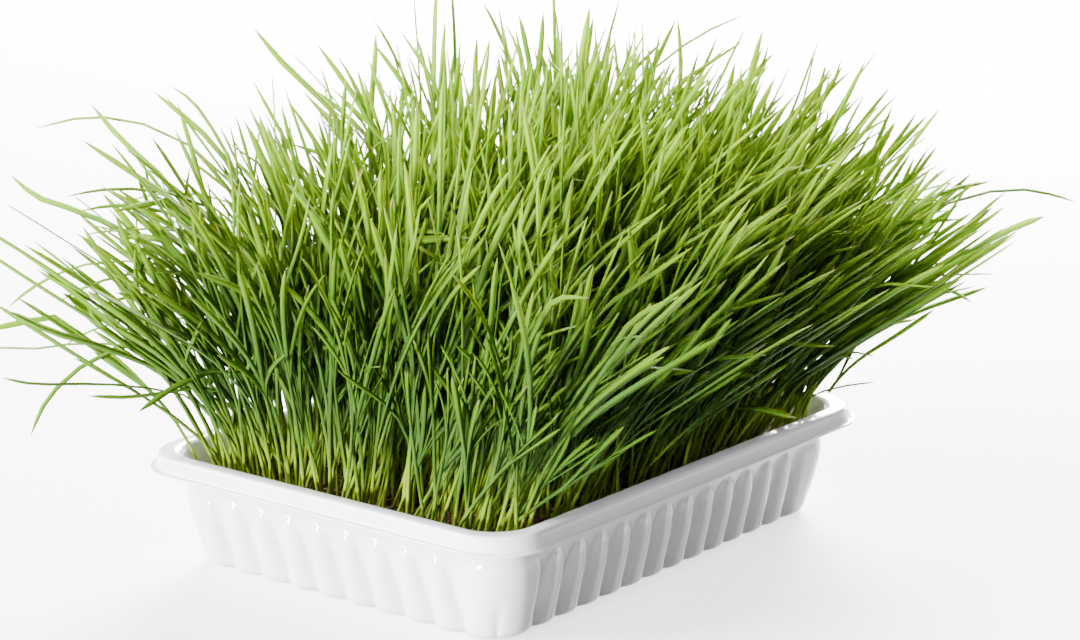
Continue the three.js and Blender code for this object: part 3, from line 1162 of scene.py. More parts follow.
class Bed:
    """The tree that roughens a bed of earth and strews grains, crumbs and roots on it."""

    def __init__(self, name: str, earth: Material, palette: Palette) -> None:
        """Builds the tree.

        Args:
            name: The tree's name.
            earth: The material of the bed and its crumbs.
            palette: The other materials.
        """
        self.earth = earth
        self.palette = palette
        self.graph = GeometryGraph(name, {
            "Unevenness": 1.6 * MM, "Lump Size": 160.0, "Grains": 2.0, "Crumbs": 4.0, "Roots": 1.0,
            "Seed": 1})
        self.tree = self._close()

    def grow(self, name: str, block: Mesh, unevenness: float, lump_size: float,
             litter: Litter, seed: int) -> Object:
        """Roughens a block and strews its litter.

        Args:
            name: The object's name.
            block: The block.
            unevenness: How high its lumps are.
            lump_size: How small they are.
            litter: What lies on it.
            seed: The seed of its lumps and litter.

        Returns:
            The object.
        """
        grown = grown_object(name, block, self.tree, {
            "Unevenness": unevenness * MM, "Lump Size": lump_size, "Grains": litter.grains,
            "Crumbs": litter.crumbs, "Roots": litter.roots, "Seed": seed})
        drop_attributes(grown.data, ("top",))
        return grown

    def _close(self) -> NodeTree:
        """Joins the bed and its litter."""
        graph = self.graph
        top = graph.attribute("top")
        lumps = graph.add("ShaderNodeTexNoise", {"Scale": graph.inputs["Lump Size"], "Detail": 5.0},
                          noise_dimensions="4D")
        graph.feed(lumps.inputs["W"], graph.times(graph.inputs["Seed"], 3.7))
        height = graph.less(lumps.outputs[0], 0.5)
        rise = graph.times(height, graph.inputs["Unevenness"], top)
        lift = graph.add("ShaderNodeCombineXYZ", {2: rise}).outputs[0]
        bed = graph.moved(graph.inputs["Geometry"], lift)
        painted = graph.store(bed, "tone", graph.times(lumps.outputs[0], 0.8))
        return graph.close(
            graph.painted(painted, self.earth),
            graph.painted(self._strewn(bed, top, "Grains", self._grain(), 11, 0.5), self.palette.grain),
            graph.painted(self._strewn(bed, top, "Crumbs", self._crumb(), 23, 3.1), self.earth),
            graph.painted(self._strewn(bed, top, "Roots", self._root(), 37, 0.35), self.palette.root),
        )

    def _strewn(self, bed: object, top: object, title: str, shape: object, salt: int,
                tilt: float) -> NodeSocket:
        """Copies of a shape strewn over the top of the bed.

        Args:
            bed: The bed.
            top: The mask of its top.
            title: The name of the input that gives their number.
            shape: What is strewn.
            salt: What makes this draw differ from the others.
            tilt: How far a copy may tip over, in radians.

        Returns:
            The instances.
        """
        graph = self.graph
        per_square_metre = graph.times(graph.inputs[title], 1e4)
        seed = graph.math("ADD", graph.inputs["Seed"], float(salt))
        spots = graph.add("GeometryNodeDistributePointsOnFaces", {
            0: bed, 1: graph.math("GREATER_THAN", top, 0.35), 4: per_square_metre, 6: seed},
            distribute_method="RANDOM")
        turn = graph.add("ShaderNodeCombineXYZ", {
            0: graph.random(-tilt, tilt, salt + 1), 1: graph.random(-tilt, tilt, salt + 2),
            2: graph.random(-math.pi, math.pi, salt + 3)}).outputs[0]
        size = graph.random(0.75, 1.25, salt + 4)
        copies = graph.add("GeometryNodeInstanceOnPoints", {0: spots.outputs[0], 2: shape, 5: turn, 6: size})
        return graph.store(copies.outputs[0], "tone", graph.random(0.0, 1.0, salt + 5), domain="INSTANCE")

    def _grain(self) -> NodeSocket:
        """A wheat grain: long, round in the back and creased along its front."""
        graph = self.graph
        ball = graph.add("GeometryNodeMeshUVSphere", {0: 8, 1: 6, 2: 1.0}).outputs[0]
        x, y, z = graph.split(graph.add("GeometryNodeInputPosition").outputs[0])
        ball = graph.store(ball, "across", y)
        crease = graph.times(graph.ease(graph.math("ABSOLUTE", y), 0.5, 0.0), 0.35)
        front = graph.math("GREATER_THAN", x, 0.1)
        x = graph.less(x, graph.times(crease, front))
        sizes = {0: graph.times(z, 3.1 * MM), 1: graph.times(y, 1.45 * MM), 2: graph.times(x, 1.35 * MM)}
        place = graph.add("ShaderNodeCombineXYZ", sizes).outputs[0]
        return graph.add("GeometryNodeSetPosition", {0: ball, 2: place}).outputs[0]

    def _crumb(self) -> NodeSocket:
        """A crumb of earth or bark: small and angular."""
        graph = self.graph
        ball = graph.add("GeometryNodeMeshIcoSphere", {0: 1.35 * MM, 1: 1}).outputs[0]
        noise = graph.add("ShaderNodeTexNoise", {"Scale": 700.0, "Detail": 1.0}).outputs["Color"]
        jitter = graph.scaled(graph.vector("SUBTRACT", noise, (0.5, 0.5, 0.5)), 1.9 * MM)
        return graph.moved(ball, jitter)

    def _root(self) -> NodeSocket:
        """A rootlet: a thin thread that arches out of the bed and back into it."""
        graph = self.graph
        line = graph.add("GeometryNodeCurveQuadraticBezier", {
            0: 6, 1: (-4.5 * MM, 0, -0.6 * MM), 2: (0, 1.8 * MM, 2.4 * MM),
            3: (5.0 * MM, 0.4 * MM, -0.6 * MM)})
        ring = graph.add("GeometryNodeCurvePrimitiveCircle", {0: 4, 4: 0.22 * MM}).outputs[0]
        feeds = {0: line.outputs[0], 1: ring, 3: True}
        return graph.add("GeometryNodeCurveToMesh", feeds).outputs[0]


def earth_block(name: str, half: ndarray, radius: float, bottom: float, top: float, steps: int,
                taper: float = 0.0, crown: float = 0.0) -> Mesh:
    """A closed block with a fine grid on top, and a mask that fades at the top's edge.

    Args:
        name: The mesh's name.
        half: Half its size on top.
        radius: The radius of its corners.
        bottom: The height of its underside.
        top: The height of its top at the edge.
        steps: The number of cells along each side.
        taper: How much smaller the underside is, on each side.
        crown: How far the middle of the top stands above its edge.

    Returns:
        The mesh.
    """
    flat = rounded_grid(half, radius, steps)
    line = np.linspace(-1, 1, steps + 1)
    ring = np.maximum(*np.abs(np.meshgrid(line, line, indexing="ij")))
    heights = top + crown * (1 - ring ** 2)
    points = np.dstack([flat, heights]).reshape(-1, 3)
    side = steps + 1
    index = np.arange(side * side).reshape(side, side)
    faces = [(index[i, j], index[i + 1, j], index[i + 1, j + 1], index[i, j + 1])
             for i in range(steps) for j in range(steps)]
    border = [*index[:-1, 0], *index[-1, :-1], *index[:0:-1, -1], *index[0, :0:-1]]
    low = rounded_grid(half - taper, max(radius - taper, 0.1), steps).reshape(-1, 2)[border]
    start = len(points)
    points = np.vstack([points, np.column_stack([low, np.full(len(border), bottom)])])
    count = len(border)
    for step in range(count):
        following = (step + 1) % count
        faces.append((border[following], border[step], start + step, start + following))
    faces.append(tuple(start + step for step in reversed(range(count))))
    mesh = plain_mesh(name, points, [tuple(int(corner) for corner in face) for face in faces])
    mask = np.clip((1 - ring) * steps / 3, 0, 1).ravel()
    write_attribute(mesh, "top", np.concatenate([mask, np.zeros(count)]))
    return mesh


@dataclass
class GrowingMedium:
    """Potting mix that fills the tray up to the clods."""

    half: Span = (100.2, 75.2)
    corner: float = 16.6
    bottom: float = 1.1
    top: float = 28.0
    taper: float = 8.6
    steps: int = 96
    unevenness: float = 3.0
    lump_size: float = 110.0
    litter: Litter = Litter(grains=0.25, crumbs=4.5, roots=0.2)
    seed: int = 5

    def build(self, palette: Palette) -> None:
        """Makes the medium and puts it on its body in place of its solids."""
        block = earth_block("medium_block", np.array(self.half), self.corner, self.bottom, self.top,
                            self.steps, taper=self.taper)
        bed = Bed("Earth bed", palette.earth, palette)
        medium = bed.grow("potting_mix", block, self.unevenness, self.lump_size, self.litter, self.seed)
        medium.data.shade_smooth()
        hand_in(medium, "medium", "growing_medium")


# Grass


@dataclass
class LeafRule:
    """How a leaf grows. Leans are in radians from upright, lengths in millimetres.

    length, length_spread: How long a plant is, and how much that varies.
    tall_share, taller: How many plants stand above the rest, and by how much.
    shortening: How much shorter plants are at the two ends, and towards the viewer.
    unevenness: How much shorter the shortest plants nearest the viewer are, as a share.
    later_leaf, later_start: How long a later leaf is, and where in its sheath it begins, as shares.
    shortest: How far every leaf grows beyond its sheath.
    slant, steadier: The stems' shared lean to the right, and how much less it is near the viewer.
    sweep: What the tips lean further to the right.
    root_fan, tip_fan: How far stems and tips fan out at the left, at the right and to the viewer.
    tilt, stray: How much the leans of stems and of tips vary.
    depth_share: How much of that variation runs along the view.
    parting, late: How far a plant's leaves part, and how late.
    bend: How late a plant's own lean comes.
    sheath, opening: How long the stem is, and how long a leaf takes to open flat.
    opening_from: Where along the stem it starts to open, as a share.
    arch, arch_length: How far an arching leaf leans out, and how long it is.
    arch_parting, arch_narrower: How much of its parting and of its width such a leaf keeps.
    kinked_share, kink: How many leaves are bent over, and how far.
    kink_place, kink_length, kink_scatter: Where along the leaf, over how much of it, and which way.
    wobble, waves: How much a leaf's lean wavers, and how often.
    steepest: The greatest lean of a plain leaf and of an arching one.
    half_width, foot_width, widening: Half a leaf's width, how much of it the foot has, and the
        share of the leaf over which it widens.
    finest: Half the width of the tip's end.
    turn, twist: How far a leaf faces away from its lean, and turns on along its length.
    tip_from, tip_power: Where the tip begins, and how blunt it is.
    fine_steps, stops: How many steps a middle line is drawn in, and which of them are kept.
    """

    length: float = 145.0
    length_spread: float = 10.0
    tall_share: float = 0.08
    taller: float = 14.0
    shortening: Span = (0.14, 0.1)
    unevenness: float = 0.5
    later_leaf: Span = (0.32, 1.02)
    later_start: float = 0.85
    shortest: float = 30.0
    slant: float = 0.34
    steadier: float = 0.12
    sweep: float = 0.17
    root_fan: Point = (0.32, 0.03, 0.06)
    tip_fan: Point = (0.68, 0.24, 0.1)
    stray: float = 0.28
    depth_share: float = 0.6
    tilt: float = 0.16
    parting: float = 0.33
    late: Span = (0.3, 1.1)
    bend: Span = (0.6, 1.4)
    sheath: Span = (24.0, 52.0)
    opening: float = 16.0
    opening_from: float = 0.8
    arch: Span = (0.5, 1.5)
    arch_length: Span = (110.0, 170.0)
    arch_parting: float = 0.4
    arch_narrower: float = 0.8
    kinked_share: float = 0.1
    kink: Span = (0.35, 1.0)
    kink_place: Span = (0.4, 0.8)
    kink_length: float = 0.06
    kink_scatter: float = 1.3
    wobble: float = 0.035
    waves: Span = (0.8, 2.2)
    steepest: Span = (0.95, 2.4)
    half_width: Span = (0.72, 1.28)
    foot_width: float = 0.6
    widening: float = 0.4
    finest: float = 0.04
    turn: float = 1.5
    twist: float = 1.3
    tip_from: float = 0.9
    tip_power: float = 2.2
    fine_steps: int = 96
    stops: tuple[int, ...] = (0, 7, 14, 22, 31, 41, 52, 63, 73, 81, 87, 91, 94, 96)


@dataclass
class Plants:
    """The leaves of one tuft's plants, one row for each leaf.

    root: Where the plant grows.
    tilt: The plant's lean at its root.
    lean: What the plant leans further at its tip.
    bend: How late that lean comes.
    tall: The plant's own length.
    sheath: The length of the stem below the place where its leaves part.
    is_later: Whether the leaf grows out of the sheath of an earlier one.
    """

    root: ndarray
    tilt: ndarray
    lean: ndarray
    bend: ndarray
    tall: ndarray
    sheath: ndarray
    is_later: ndarray

    def __len__(self) -> int:
        """The number of leaves."""
        return len(self.root)

    def some(self, chosen: ndarray) -> Plants:
        """The chosen rows."""
        return Plants(*(getattr(self, name)[chosen] for name in self.__dataclass_fields__))


@dataclass
class Leaves:
    """Leaves ready for their skins: the middle line of each, and what the skin needs along it."""

    lines: ndarray
    sides: ndarray
    widths: ndarray
    runs: ndarray
    opened: ndarray
    tones: ndarray

    def mesh(self) -> Mesh:
        """The middle lines as loose edges, root first."""
        count, stops = self.lines.shape[:2]
        starts = np.arange(count)[:, None] * stops + np.arange(stops - 1)
        edges = np.stack([starts, starts + 1], -1).reshape(-1, 2)
        mesh = plain_mesh("leaf_lines", self.lines.reshape(-1, 3), [], edges.tolist())
        write_attribute(mesh, "run", self.runs.ravel())
        write_attribute(mesh, "opened", self.opened.ravel())
        write_attribute(mesh, "half_width", (self.widths * MM).ravel())
        write_attribute(mesh, "tone", np.repeat(self.tones, stops))
        write_attribute(mesh, "side", self.sides.reshape(-1, 3))
        return mesh

    def with_more(self, others: Leaves) -> Leaves:
        """These leaves and others."""
        pairs = ((getattr(self, name), getattr(others, name)) for name in self.__dataclass_fields__)
        return Leaves(*(np.concatenate(pair) for pair in pairs))


def leaf_tree(material: Material) -> NodeTree:
    """The tree that gives each middle line its skin: a round stem that opens into a folded leaf.

    Args:
        material: The leaf's material.

    Returns:
        The tree.
    """
    graph = GeometryGraph("Leaves", {"Stem Radius": 0.68 * MM, "Thickness": 0.3 * MM, "Fold": 0.34})
    lines = graph.add("GeometryNodeMeshToCurve", {0: graph.inputs["Geometry"]}).outputs[0]
    kept = graph.add("GeometryNodeCaptureAttribute", {0: lines}, domain="POINT")
    kept.capture_items.new("VECTOR", "Centre")
    kept.capture_items.new("VECTOR", "Heading")
    graph.feed(kept.inputs[1], graph.add("GeometryNodeInputPosition").outputs[0])
    graph.feed(kept.inputs[2], graph.add("GeometryNodeInputTangent").outputs[0])
    ring = graph.add("GeometryNodeCurvePrimitiveCircle", {0: 4, 4: 1.0}).outputs[0]
    section = graph.add("GeometryNodeCaptureAttribute", {0: ring}, domain="POINT")
    section.capture_items.new("VECTOR", "Section")
    graph.feed(section.inputs[1], graph.add("GeometryNodeInputPosition").outputs[0])
    feeds = {0: kept.outputs[0], 1: section.outputs[0], 3: True}
    skin = graph.add("GeometryNodeCurveToMesh", feeds).outputs[0]

    across, deep, _ = graph.split(section.outputs[1])
    half_width, opened = graph.attribute("half_width"), graph.attribute("opened")
    side = graph.attribute("side", "FLOAT_VECTOR")
    keel = graph.vector("CROSS_PRODUCT", side, kept.outputs[2])
    stem = graph.math("MINIMUM", graph.inputs["Stem Radius"], graph.times(half_width, 1.4))
    reach = graph.times(across, graph.blend(opened, stem, half_width))
    thick = graph.math("MINIMUM", graph.inputs["Thickness"], half_width)
    under = graph.times(graph.math("MAXIMUM", deep, 0.0), thick)
    folded = graph.times(graph.math("ABSOLUTE", across), half_width, graph.inputs["Fold"])
    height = graph.blend(opened, graph.times(deep, stem), graph.less(under, folded))
    place = graph.vector("ADD", graph.scaled(side, reach), graph.scaled(keel, height))
    place = graph.vector("ADD", kept.outputs[1], place)
    skin = graph.store(skin, "across", across)
    skin = graph.add("GeometryNodeSetPosition", {0: skin, 2: place}).outputs[0]
    skin = graph.add("GeometryNodeSetShadeSmooth", {0: skin, 2: True}).outputs[0]
    return graph.close(graph.painted(skin, material))


@dataclass(frozen=True)
class Stray:
    """A leaf that stands out from the rest, as the photograph shows it.

    root: Where it grows, on the clods.
    passes: The columns and rows that it passes, in a picture 1080 by 640, the last for its tip.
    nearer: How much nearer the viewer its tip is than its root, in millimetres.
    half_width: Half its width.
    tone: Its tone, from 0 for deep green to 1 for bright.
    """

    root: Span
    passes: tuple[Span, ...]
    nearer: float = 0.0
    half_width: float = 1.0
    tone: float = 0.5


STRAYS = (
    # Leaves and threads that reach out to the left
    Stray((-60, 50), ((200, 152), (150, 126), (90, 117), (33, 129)), -30, 0.45, 0.2),
    Stray((-78, 58), ((210, 268), (150, 245), (85, 213), (36, 196), (9, 174)), -6, 0.95, 0.35),
    Stray((-84, 60), ((215, 398), (160, 370), (108, 349), (50, 331), (8, 311)), 82, 1.0, 0.2),
    Stray((-88, 52), ((195, 400), (140, 387), (90, 384), (35, 384), (2, 378)), 84, 0.45, 0.3),
    Stray((-90, 60), ((215, 345), (165, 337), (115, 349), (70, 375), (45, 403), (30, 437)), 30, 0.7, 0.1),
    Stray((-82, 66), ((215, 402), (165, 368), (110, 334), (70, 300)), 10, 1.0, 0.3),
    Stray((-90, 30), ((252, 378), (222, 370), (180, 384), (138, 412)), 34, 0.9, 0.05),
    Stray((-92, 44), ((215, 388), (170, 392), (130, 397), (88, 396)), 30, 0.6, 0.5),
    Stray((-70, 55), ((190, 198), (150, 190), (100, 190), (64, 197)), 10, 0.5, 0.2),
    Stray((-74, 60), ((190, 222), (140, 206), (108, 206), (80, 211)), 18, 0.6, 0.4),
    Stray((-80, 50), ((195, 285), (160, 261), (126, 240)), 26, 0.8, 0.1),
    Stray((-84, 56), ((180, 258), (155, 250), (138, 272), (132, 306)), 24, 0.8, 0.15),
    Stray((-86, 48), ((200, 318), (160, 306), (115, 292)), 22, 0.8, 0.5),
    Stray((-88, 40), ((218, 372), (195, 342), (149, 318)), 30, 0.7, 0.1),
    Stray((-66, 62), ((165, 180), (120, 138), (90, 103)), -10, 0.9, 0.8),
    Stray((-72, 52), ((185, 210), (120, 165), (82, 140)), 14, 0.9, 0.7),
    Stray((-64, 58), ((205, 135), (180, 113), (153, 91)), 0, 0.9, 0.5),
    Stray((-60, 66), ((212, 128), (192, 101), (170, 85)), -8, 0.6, 0.2),
    # Leaves that reach out to the right
    Stray((84, -52), ((925, 212), (965, 198), (1010, 189), (1050, 194), (1078, 203)), -36, 0.5, 0.3),
    Stray((86, -58), ((925, 285), (965, 256), (1005, 232), (1045, 216)), 85, 1.0, 0.7),
    Stray((88, -50), ((865, 340), (905, 317), (950, 300), (988, 287)), -20, 0.8, 0.4),
    Stray((84, -60), ((880, 300), (915, 287), (950, 290), (973, 303)), 0, 0.7, 0.8),
    Stray((82, -44), ((900, 215), (945, 192), (992, 181)), -20, 0.8, 0.7),
    Stray((88, -48), ((840, 350), (880, 327), (917, 319)), -14, 0.6, 0.2),
    Stray((90, -62), ((812, 396), (840, 387), (875, 382)), 6, 0.4, 0.3),
    # Tall ones along the top
    Stray((20, 20), ((578, 90), (584, 45), (590, 5)), 0, 1.3, 0.9),
    Stray((-30, 50), ((330, 108), (282, 62), (253, 27)), 10, 1.0, 0.6),
    Stray((-20, 40), ((372, 92), (375, 60), (376, 31)), 0, 0.95, 0.3),
    Stray((-24, 30), ((362, 108), (336, 70), (316, 43)), 6, 0.9, 0.4),
    Stray((-10, 30), ((443, 105), (428, 72), (411, 41)), 0, 0.55, 0.0),
    Stray((-4, 36), ((446, 98), (445, 66), (443, 35)), 0, 0.6, 0.0),
    Stray((2, 30), ((524, 98), (518, 50), (503, 19)), 6, 0.5, 0.1),
    Stray((30, 30), ((602, 100), (606, 65), (611, 35)), 0, 1.0, 0.8),
    Stray((40, 20), ((648, 100), (655, 62), (660, 32)), 0, 0.8, 0.5),
    Stray((50, 20), ((650, 72), (700, 35), (753, 11)), 0, 0.4, 0.1),
    Stray((60, 10), ((735, 108), (752, 72), (763, 46)), -6, 0.95, 0.9),
    Stray((70, 0), ((806, 122), (832, 86), (842, 57)), -6, 0.7, 0.2),
    Stray((74, -6), ((862, 122), (876, 104), (891, 86)), -10, 0.7, 0.7),
    Stray((78, -20), ((890, 150), (905, 130), (917, 112)), -10, 0.8, 0.6),
    Stray((80, -26), ((905, 190), (922, 166), (938, 145)), -10, 0.8, 0.3),
    # Bright leaves that lie across the front
    Stray((-88, 0), ((352, 268), (385, 247), (430, 240), (472, 238)), 30, 1.25, 1.0),
    Stray((-20, -66), ((540, 440), (575, 418), (613, 387), (660, 350)), 20, 1.3, 0.95),
    Stray((34, -66), ((716, 380), (747, 363), (772, 345), (785, 322)), 16, 1.5, 0.9),
    Stray((20, -60), ((700, 325), (735, 306), (770, 290), (808, 275)), 10, 1.5, 0.95),
    Stray((30, -68), ((668, 393), (713, 380), (743, 378), (761, 398)), 24, 0.9, 0.9),
    Stray((52, -66), ((735, 352), (763, 366), (791, 380)), 18, 1.2, 0.85),
    Stray((40, -70), ((678, 419), (713, 410), (750, 408), (797, 418)), 20, 1.0, 0.9),
)


@dataclass
class Cell:
    """The place of a tuft in the tray."""

    number: int
    middle: ndarray
    half: ndarray
    is_edge: bool


@dataclass
class GrassStand:
    """All the tufts, each with its clod.

    field_size, rows, spacing: The bed of clods, how many each row has, and half the gap between.
    clod_edge: How far the edge of a clod's top lies under its height.
    clod_flare: How much wider a clod is at its foot, on each side.
    plants, leaf_counts: How many plants a tuft has, and how few and how many leaves a plant has.
    huddle, huddle_reach: How many plants huddle up to their neighbour, and how near.
    arching_share: How many leaves arch over, in the tufts at the edge.
    right_from, front_from: Where on the right and in front no more leaves arch.
    foot_half: Half the rectangle of the tray's foot.
    rim_clear, rim_top: How far outside that rectangle the wall and rim are, and how high.
    lowest: How low a leaf may hang.
    stray_sheath, stray_wider: The stem's length and the extra width of a leaf that stands out.
    stray_late: How late such a leaf comes nearer the viewer.
    """

    lens: Lens
    field_size: Span = (196.0, 147.0)
    rows: tuple[int, ...] = (7, 6, 7, 6, 7)
    spacing: float = 0.6
    clod_bottom: float = 28.3
    clod_height: float = 4.6
    clod_edge: float = 0.9
    clod_crown: float = 1.0
    clod_corner: float = 5.0
    clod_flare: float = 0.3
    clod_steps: int = 14
    unevenness: float = 3.4
    lump_size: float = 190.0
    bed_seed: int = 47
    plants: int = 44
    leaf_counts: tuple[int, int] = (3, 4)
    huddle: float = 0.7
    huddle_reach: float = 0.8
    arching_share: float = 0.05
    right_from: float = 20.0
    front_from: float = 20.0
    root_depth: float = 3.0
    root_edge: float = 0.9
    foot_half: Span = (97.6, 72.6)
    rim_clear: Span = (3.0, 17.6)
    rim_top: float = 45.0
    lowest: float = 14.0
    stray_sheath: float = 38.0
    stray_wider: float = 1.2
    stray_late: float = 1.5
    redraws: int = 16
    seed: int = 20417
    rule: LeafRule = field(default_factory=LeafRule)
    edge_litter: Litter = Litter(grains=1.8, crumbs=6.0, roots=1.0)
    inner_litter: Litter = Litter(grains=1.2, crumbs=2.0, roots=0.6)

    def cells(self) -> list[Cell]:
        """The places of the tufts, in staggered rows."""
        places = []
        depth = self.field_size[1] / len(self.rows)
        for row, count in enumerate(self.rows):
            width = self.field_size[0] / count
            back = (row - (len(self.rows) - 1) / 2) * depth
            for column in range(count):
                middle = np.array([(column - (count - 1) / 2) * width, back])
                is_edge = row in (0, len(self.rows) - 1) or column in (0, count - 1)
                half = np.array([width, depth]) / 2 - self.spacing
                places.append(Cell(len(places) + 1, middle, half, is_edge))
        return places

    @property
    def root_level(self) -> float:
        """The height at which the leaves' lines start, inside the clods."""
        return self.clod_bottom + self.clod_height - self.root_depth

    def roots(self, cell: Cell, draw: Generator) -> ndarray:
        """The roots of a tuft's plants: spread over its clod, some huddled together.

        Args:
            cell: The tuft's place.
            draw: The seeded draw.

        Returns:
            One point for each plant.
        """
        step = math.sqrt(4 * cell.half[0] * cell.half[1] / self.plants)
        counts = np.maximum(np.round(2 * cell.half / step).astype(int), 1)
        line = [np.arange(count) + 0.5 for count in counts]
        grid = np.stack(np.meshgrid(*line, indexing="ij"), -1).reshape(-1, 2)
        grid += draw.uniform(-0.5, 0.5, grid.shape)
        roots = cell.middle + (np.clip(grid / counts, 0, 1) * 2 - 1) * (cell.half - self.root_edge)
        huddled = np.flatnonzero(draw.random(len(roots)) < self.huddle)
        shifts = draw.normal(0, self.huddle_reach, (len(huddled), 2))
        roots[huddled] = roots[np.maximum(huddled - 1, 0)] + shifts
        limit = cell.half - self.root_edge
        return cell.middle + np.clip(roots - cell.middle, -limit, limit)

    def plant(self, cell: Cell, draw: Generator) -> Plants:
        """Draws a tuft's plants, with a row for each of their leaves.

        Args:
            cell: The tuft's place.
            draw: The seeded draw.

        Returns:
            The plants.
        """
        rule = self.rule
        root = self.roots(cell, draw)
        count = len(root)
        spot = root / np.array(self.foot_half)
        room = np.maximum(self.rim_clear[0] + np.array(self.foot_half) - np.abs(root), 0)
        ways = np.stack([self.lens.across, self.lens.toward])
        place = spot @ ways.T
        aside, nearer = place.T
        fanned = self._fanned(rule.root_fan, aside, nearer)
        fanned[:, 0] += rule.slant - rule.steadier * np.maximum(nearer, 0)
        tilt = fanned @ ways + draw.normal(0, rule.tilt, (count, 2))
        outward = np.sign(root) * tilt
        tilt = np.sign(root) * np.minimum(outward, room / (self.rim_top - self.root_level))
        fanned = self._fanned(rule.tip_fan, aside, nearer)
        fanned[:, 0] += rule.sweep
        lean = (fanned + draw.normal(0, rule.stray, (count, 2)) * (1, rule.depth_share)) @ ways
        short = rule.shortening[0] * aside ** 2 + rule.shortening[1] * np.maximum(nearer, 0)
        uneven = draw.uniform(1 - rule.unevenness * np.clip(nearer, 0, 1), 1)
        tall = rule.length * (1 - short) * uneven
        tall = tall + draw.normal(0, rule.length_spread, count)
        tall = tall + rule.taller * (draw.random(count) < rule.tall_share)
        bend = draw.uniform(*rule.bend, count)
        sheath = draw.uniform(*rule.sheath, count)
        leaves = draw.integers(self.leaf_counts[0], self.leaf_counts[1] + 1, count)
        owner = np.repeat(np.arange(count), leaves)
        is_later = np.concatenate([np.arange(number) > 0 for number in leaves])
        facts = (values[owner] for values in (root, tilt, lean, bend, tall, sheath))
        return Plants(*facts, is_later)

    def _fanned(self, fan: Point, aside: ndarray, nearer: ndarray) -> ndarray:
        """How far plants fan out, across the picture and towards the viewer.

        Args:
            fan: The fan at the left, at the right and towards the viewer.
            aside: How far to the right each plant grows.
            nearer: How near to the viewer it grows.

        Returns:
            Two leans for each plant.
        """
        left, right, front = fan
        return np.column_stack([np.where(aside < 0, -left * aside ** 2, right * aside), front * nearer])

    def grow(self, plants: Plants, arches: ndarray, draw: Generator) -> tuple[ndarray, ...]:
        """Draws a leaf for each row.

        Args:
            plants: The rows.
            arches: Whether each leaf arches over.
            draw: The seeded draw.

        Returns:
            The fine middle lines, the headings along them, and the leaves' lengths.
        """
        rule, count = self.rule, len(plants)
        length = plants.tall * np.where(plants.is_later, draw.uniform(*rule.later_leaf, count), 1)
        length = np.where(arches, draw.uniform(*rule.arch_length, count), length)
        length = np.maximum(length, plants.sheath + rule.shortest)
        ways = np.stack([self.lens.across, self.lens.toward * rule.depth_share])
        parting = draw.normal(0, rule.parting, (count, 2)) @ ways
        spot = plants.root / np.array(self.foot_half)
        outward = spot / np.maximum(np.linalg.norm(spot, axis=1, keepdims=True), 0.05)
        arched = outward * draw.uniform(*rule.arch, (count, 1)) + rule.arch_parting * parting
        parting = np.where(arches[:, None], arched, parting)
        late = draw.uniform(*rule.late, count)
        walk = (np.arange(rule.fine_steps) + 0.5) / rule.fine_steps * length[:, None]
        share = walk / plants.tall[:, None]
        above = (walk - plants.sheath[:, None]) / (length - plants.sheath)[:, None]
        parted = np.clip(above, 0, 1) ** late[:, None]
        vector = plants.tilt[:, None] + plants.lean[:, None] * (share ** plants.bend[:, None])[..., None]
        vector = vector + parting[:, None] * parted[..., None]
        angle = np.linalg.norm(vector, axis=-1, keepdims=True)
        limit = np.where(arches, *rule.steepest[::-1])[:, None, None]
        vector = vector * np.minimum(limit / np.maximum(angle, 1e-9), 1)
        vector = vector + self._kinks(above, draw) + self._wobbles(parted, draw)
        angle = np.linalg.norm(vector, axis=-1, keepdims=True)
        flat = vector / np.maximum(angle, 1e-9)
        heading = np.concatenate([flat * np.sin(angle), np.cos(angle)], -1)
        steps = heading * (length / rule.fine_steps)[:, None, None]
        base = np.column_stack([plants.root, np.full(count, self.root_level)])[:, None]
        lines = np.concatenate([base, base + np.cumsum(steps, axis=1)], axis=1)
        return lines, np.concatenate([heading[:, :1], heading], axis=1), length

    def _kinks(self, above: ndarray, draw: Generator) -> ndarray:
        """What a bent-over place adds to the leans of a few leaves."""
        rule, count = self.rule, len(above)
        turn = math.radians(self.lens.azimuth) + draw.normal(0, rule.kink_scatter, count)
        size = draw.uniform(*rule.kink, count) * (draw.random(count) < rule.kinked_share)
        place = draw.uniform(*rule.kink_place, (count, 1))
        passed = np.clip((above - place) / rule.kink_length, 0, 1)
        return (np.column_stack([np.cos(turn), np.sin(turn)]) * size[:, None])[:, None] * passed[..., None]

    def _wobbles(self, parted: ndarray, draw: Generator) -> ndarray:
        """What slow waves add to the leans of the leaves."""
        rule, count = self.rule, len(parted)
        phase = draw.uniform(0, 2 * math.pi, (count, 1, 2))
        waves = draw.uniform(*rule.waves, (count, 1, 1))
        return rule.wobble * np.sin(2 * math.pi * waves * parted[..., None] + phase) * parted[..., None]

    def is_clear(self, lines: ndarray) -> ndarray:
        """Whether each leaf keeps inside the walls low down, or hangs clear outside the rim."""
        out = (np.abs(lines[..., :2]) - np.array(self.foot_half)).max(-1)
        low = lines[..., 2] < self.rim_top
        through = low & (out > self.rim_clear[0]) & (out < self.rim_clear[1])
        return ~through.any(axis=1) & (lines[..., 2].min(axis=1) > self.lowest)

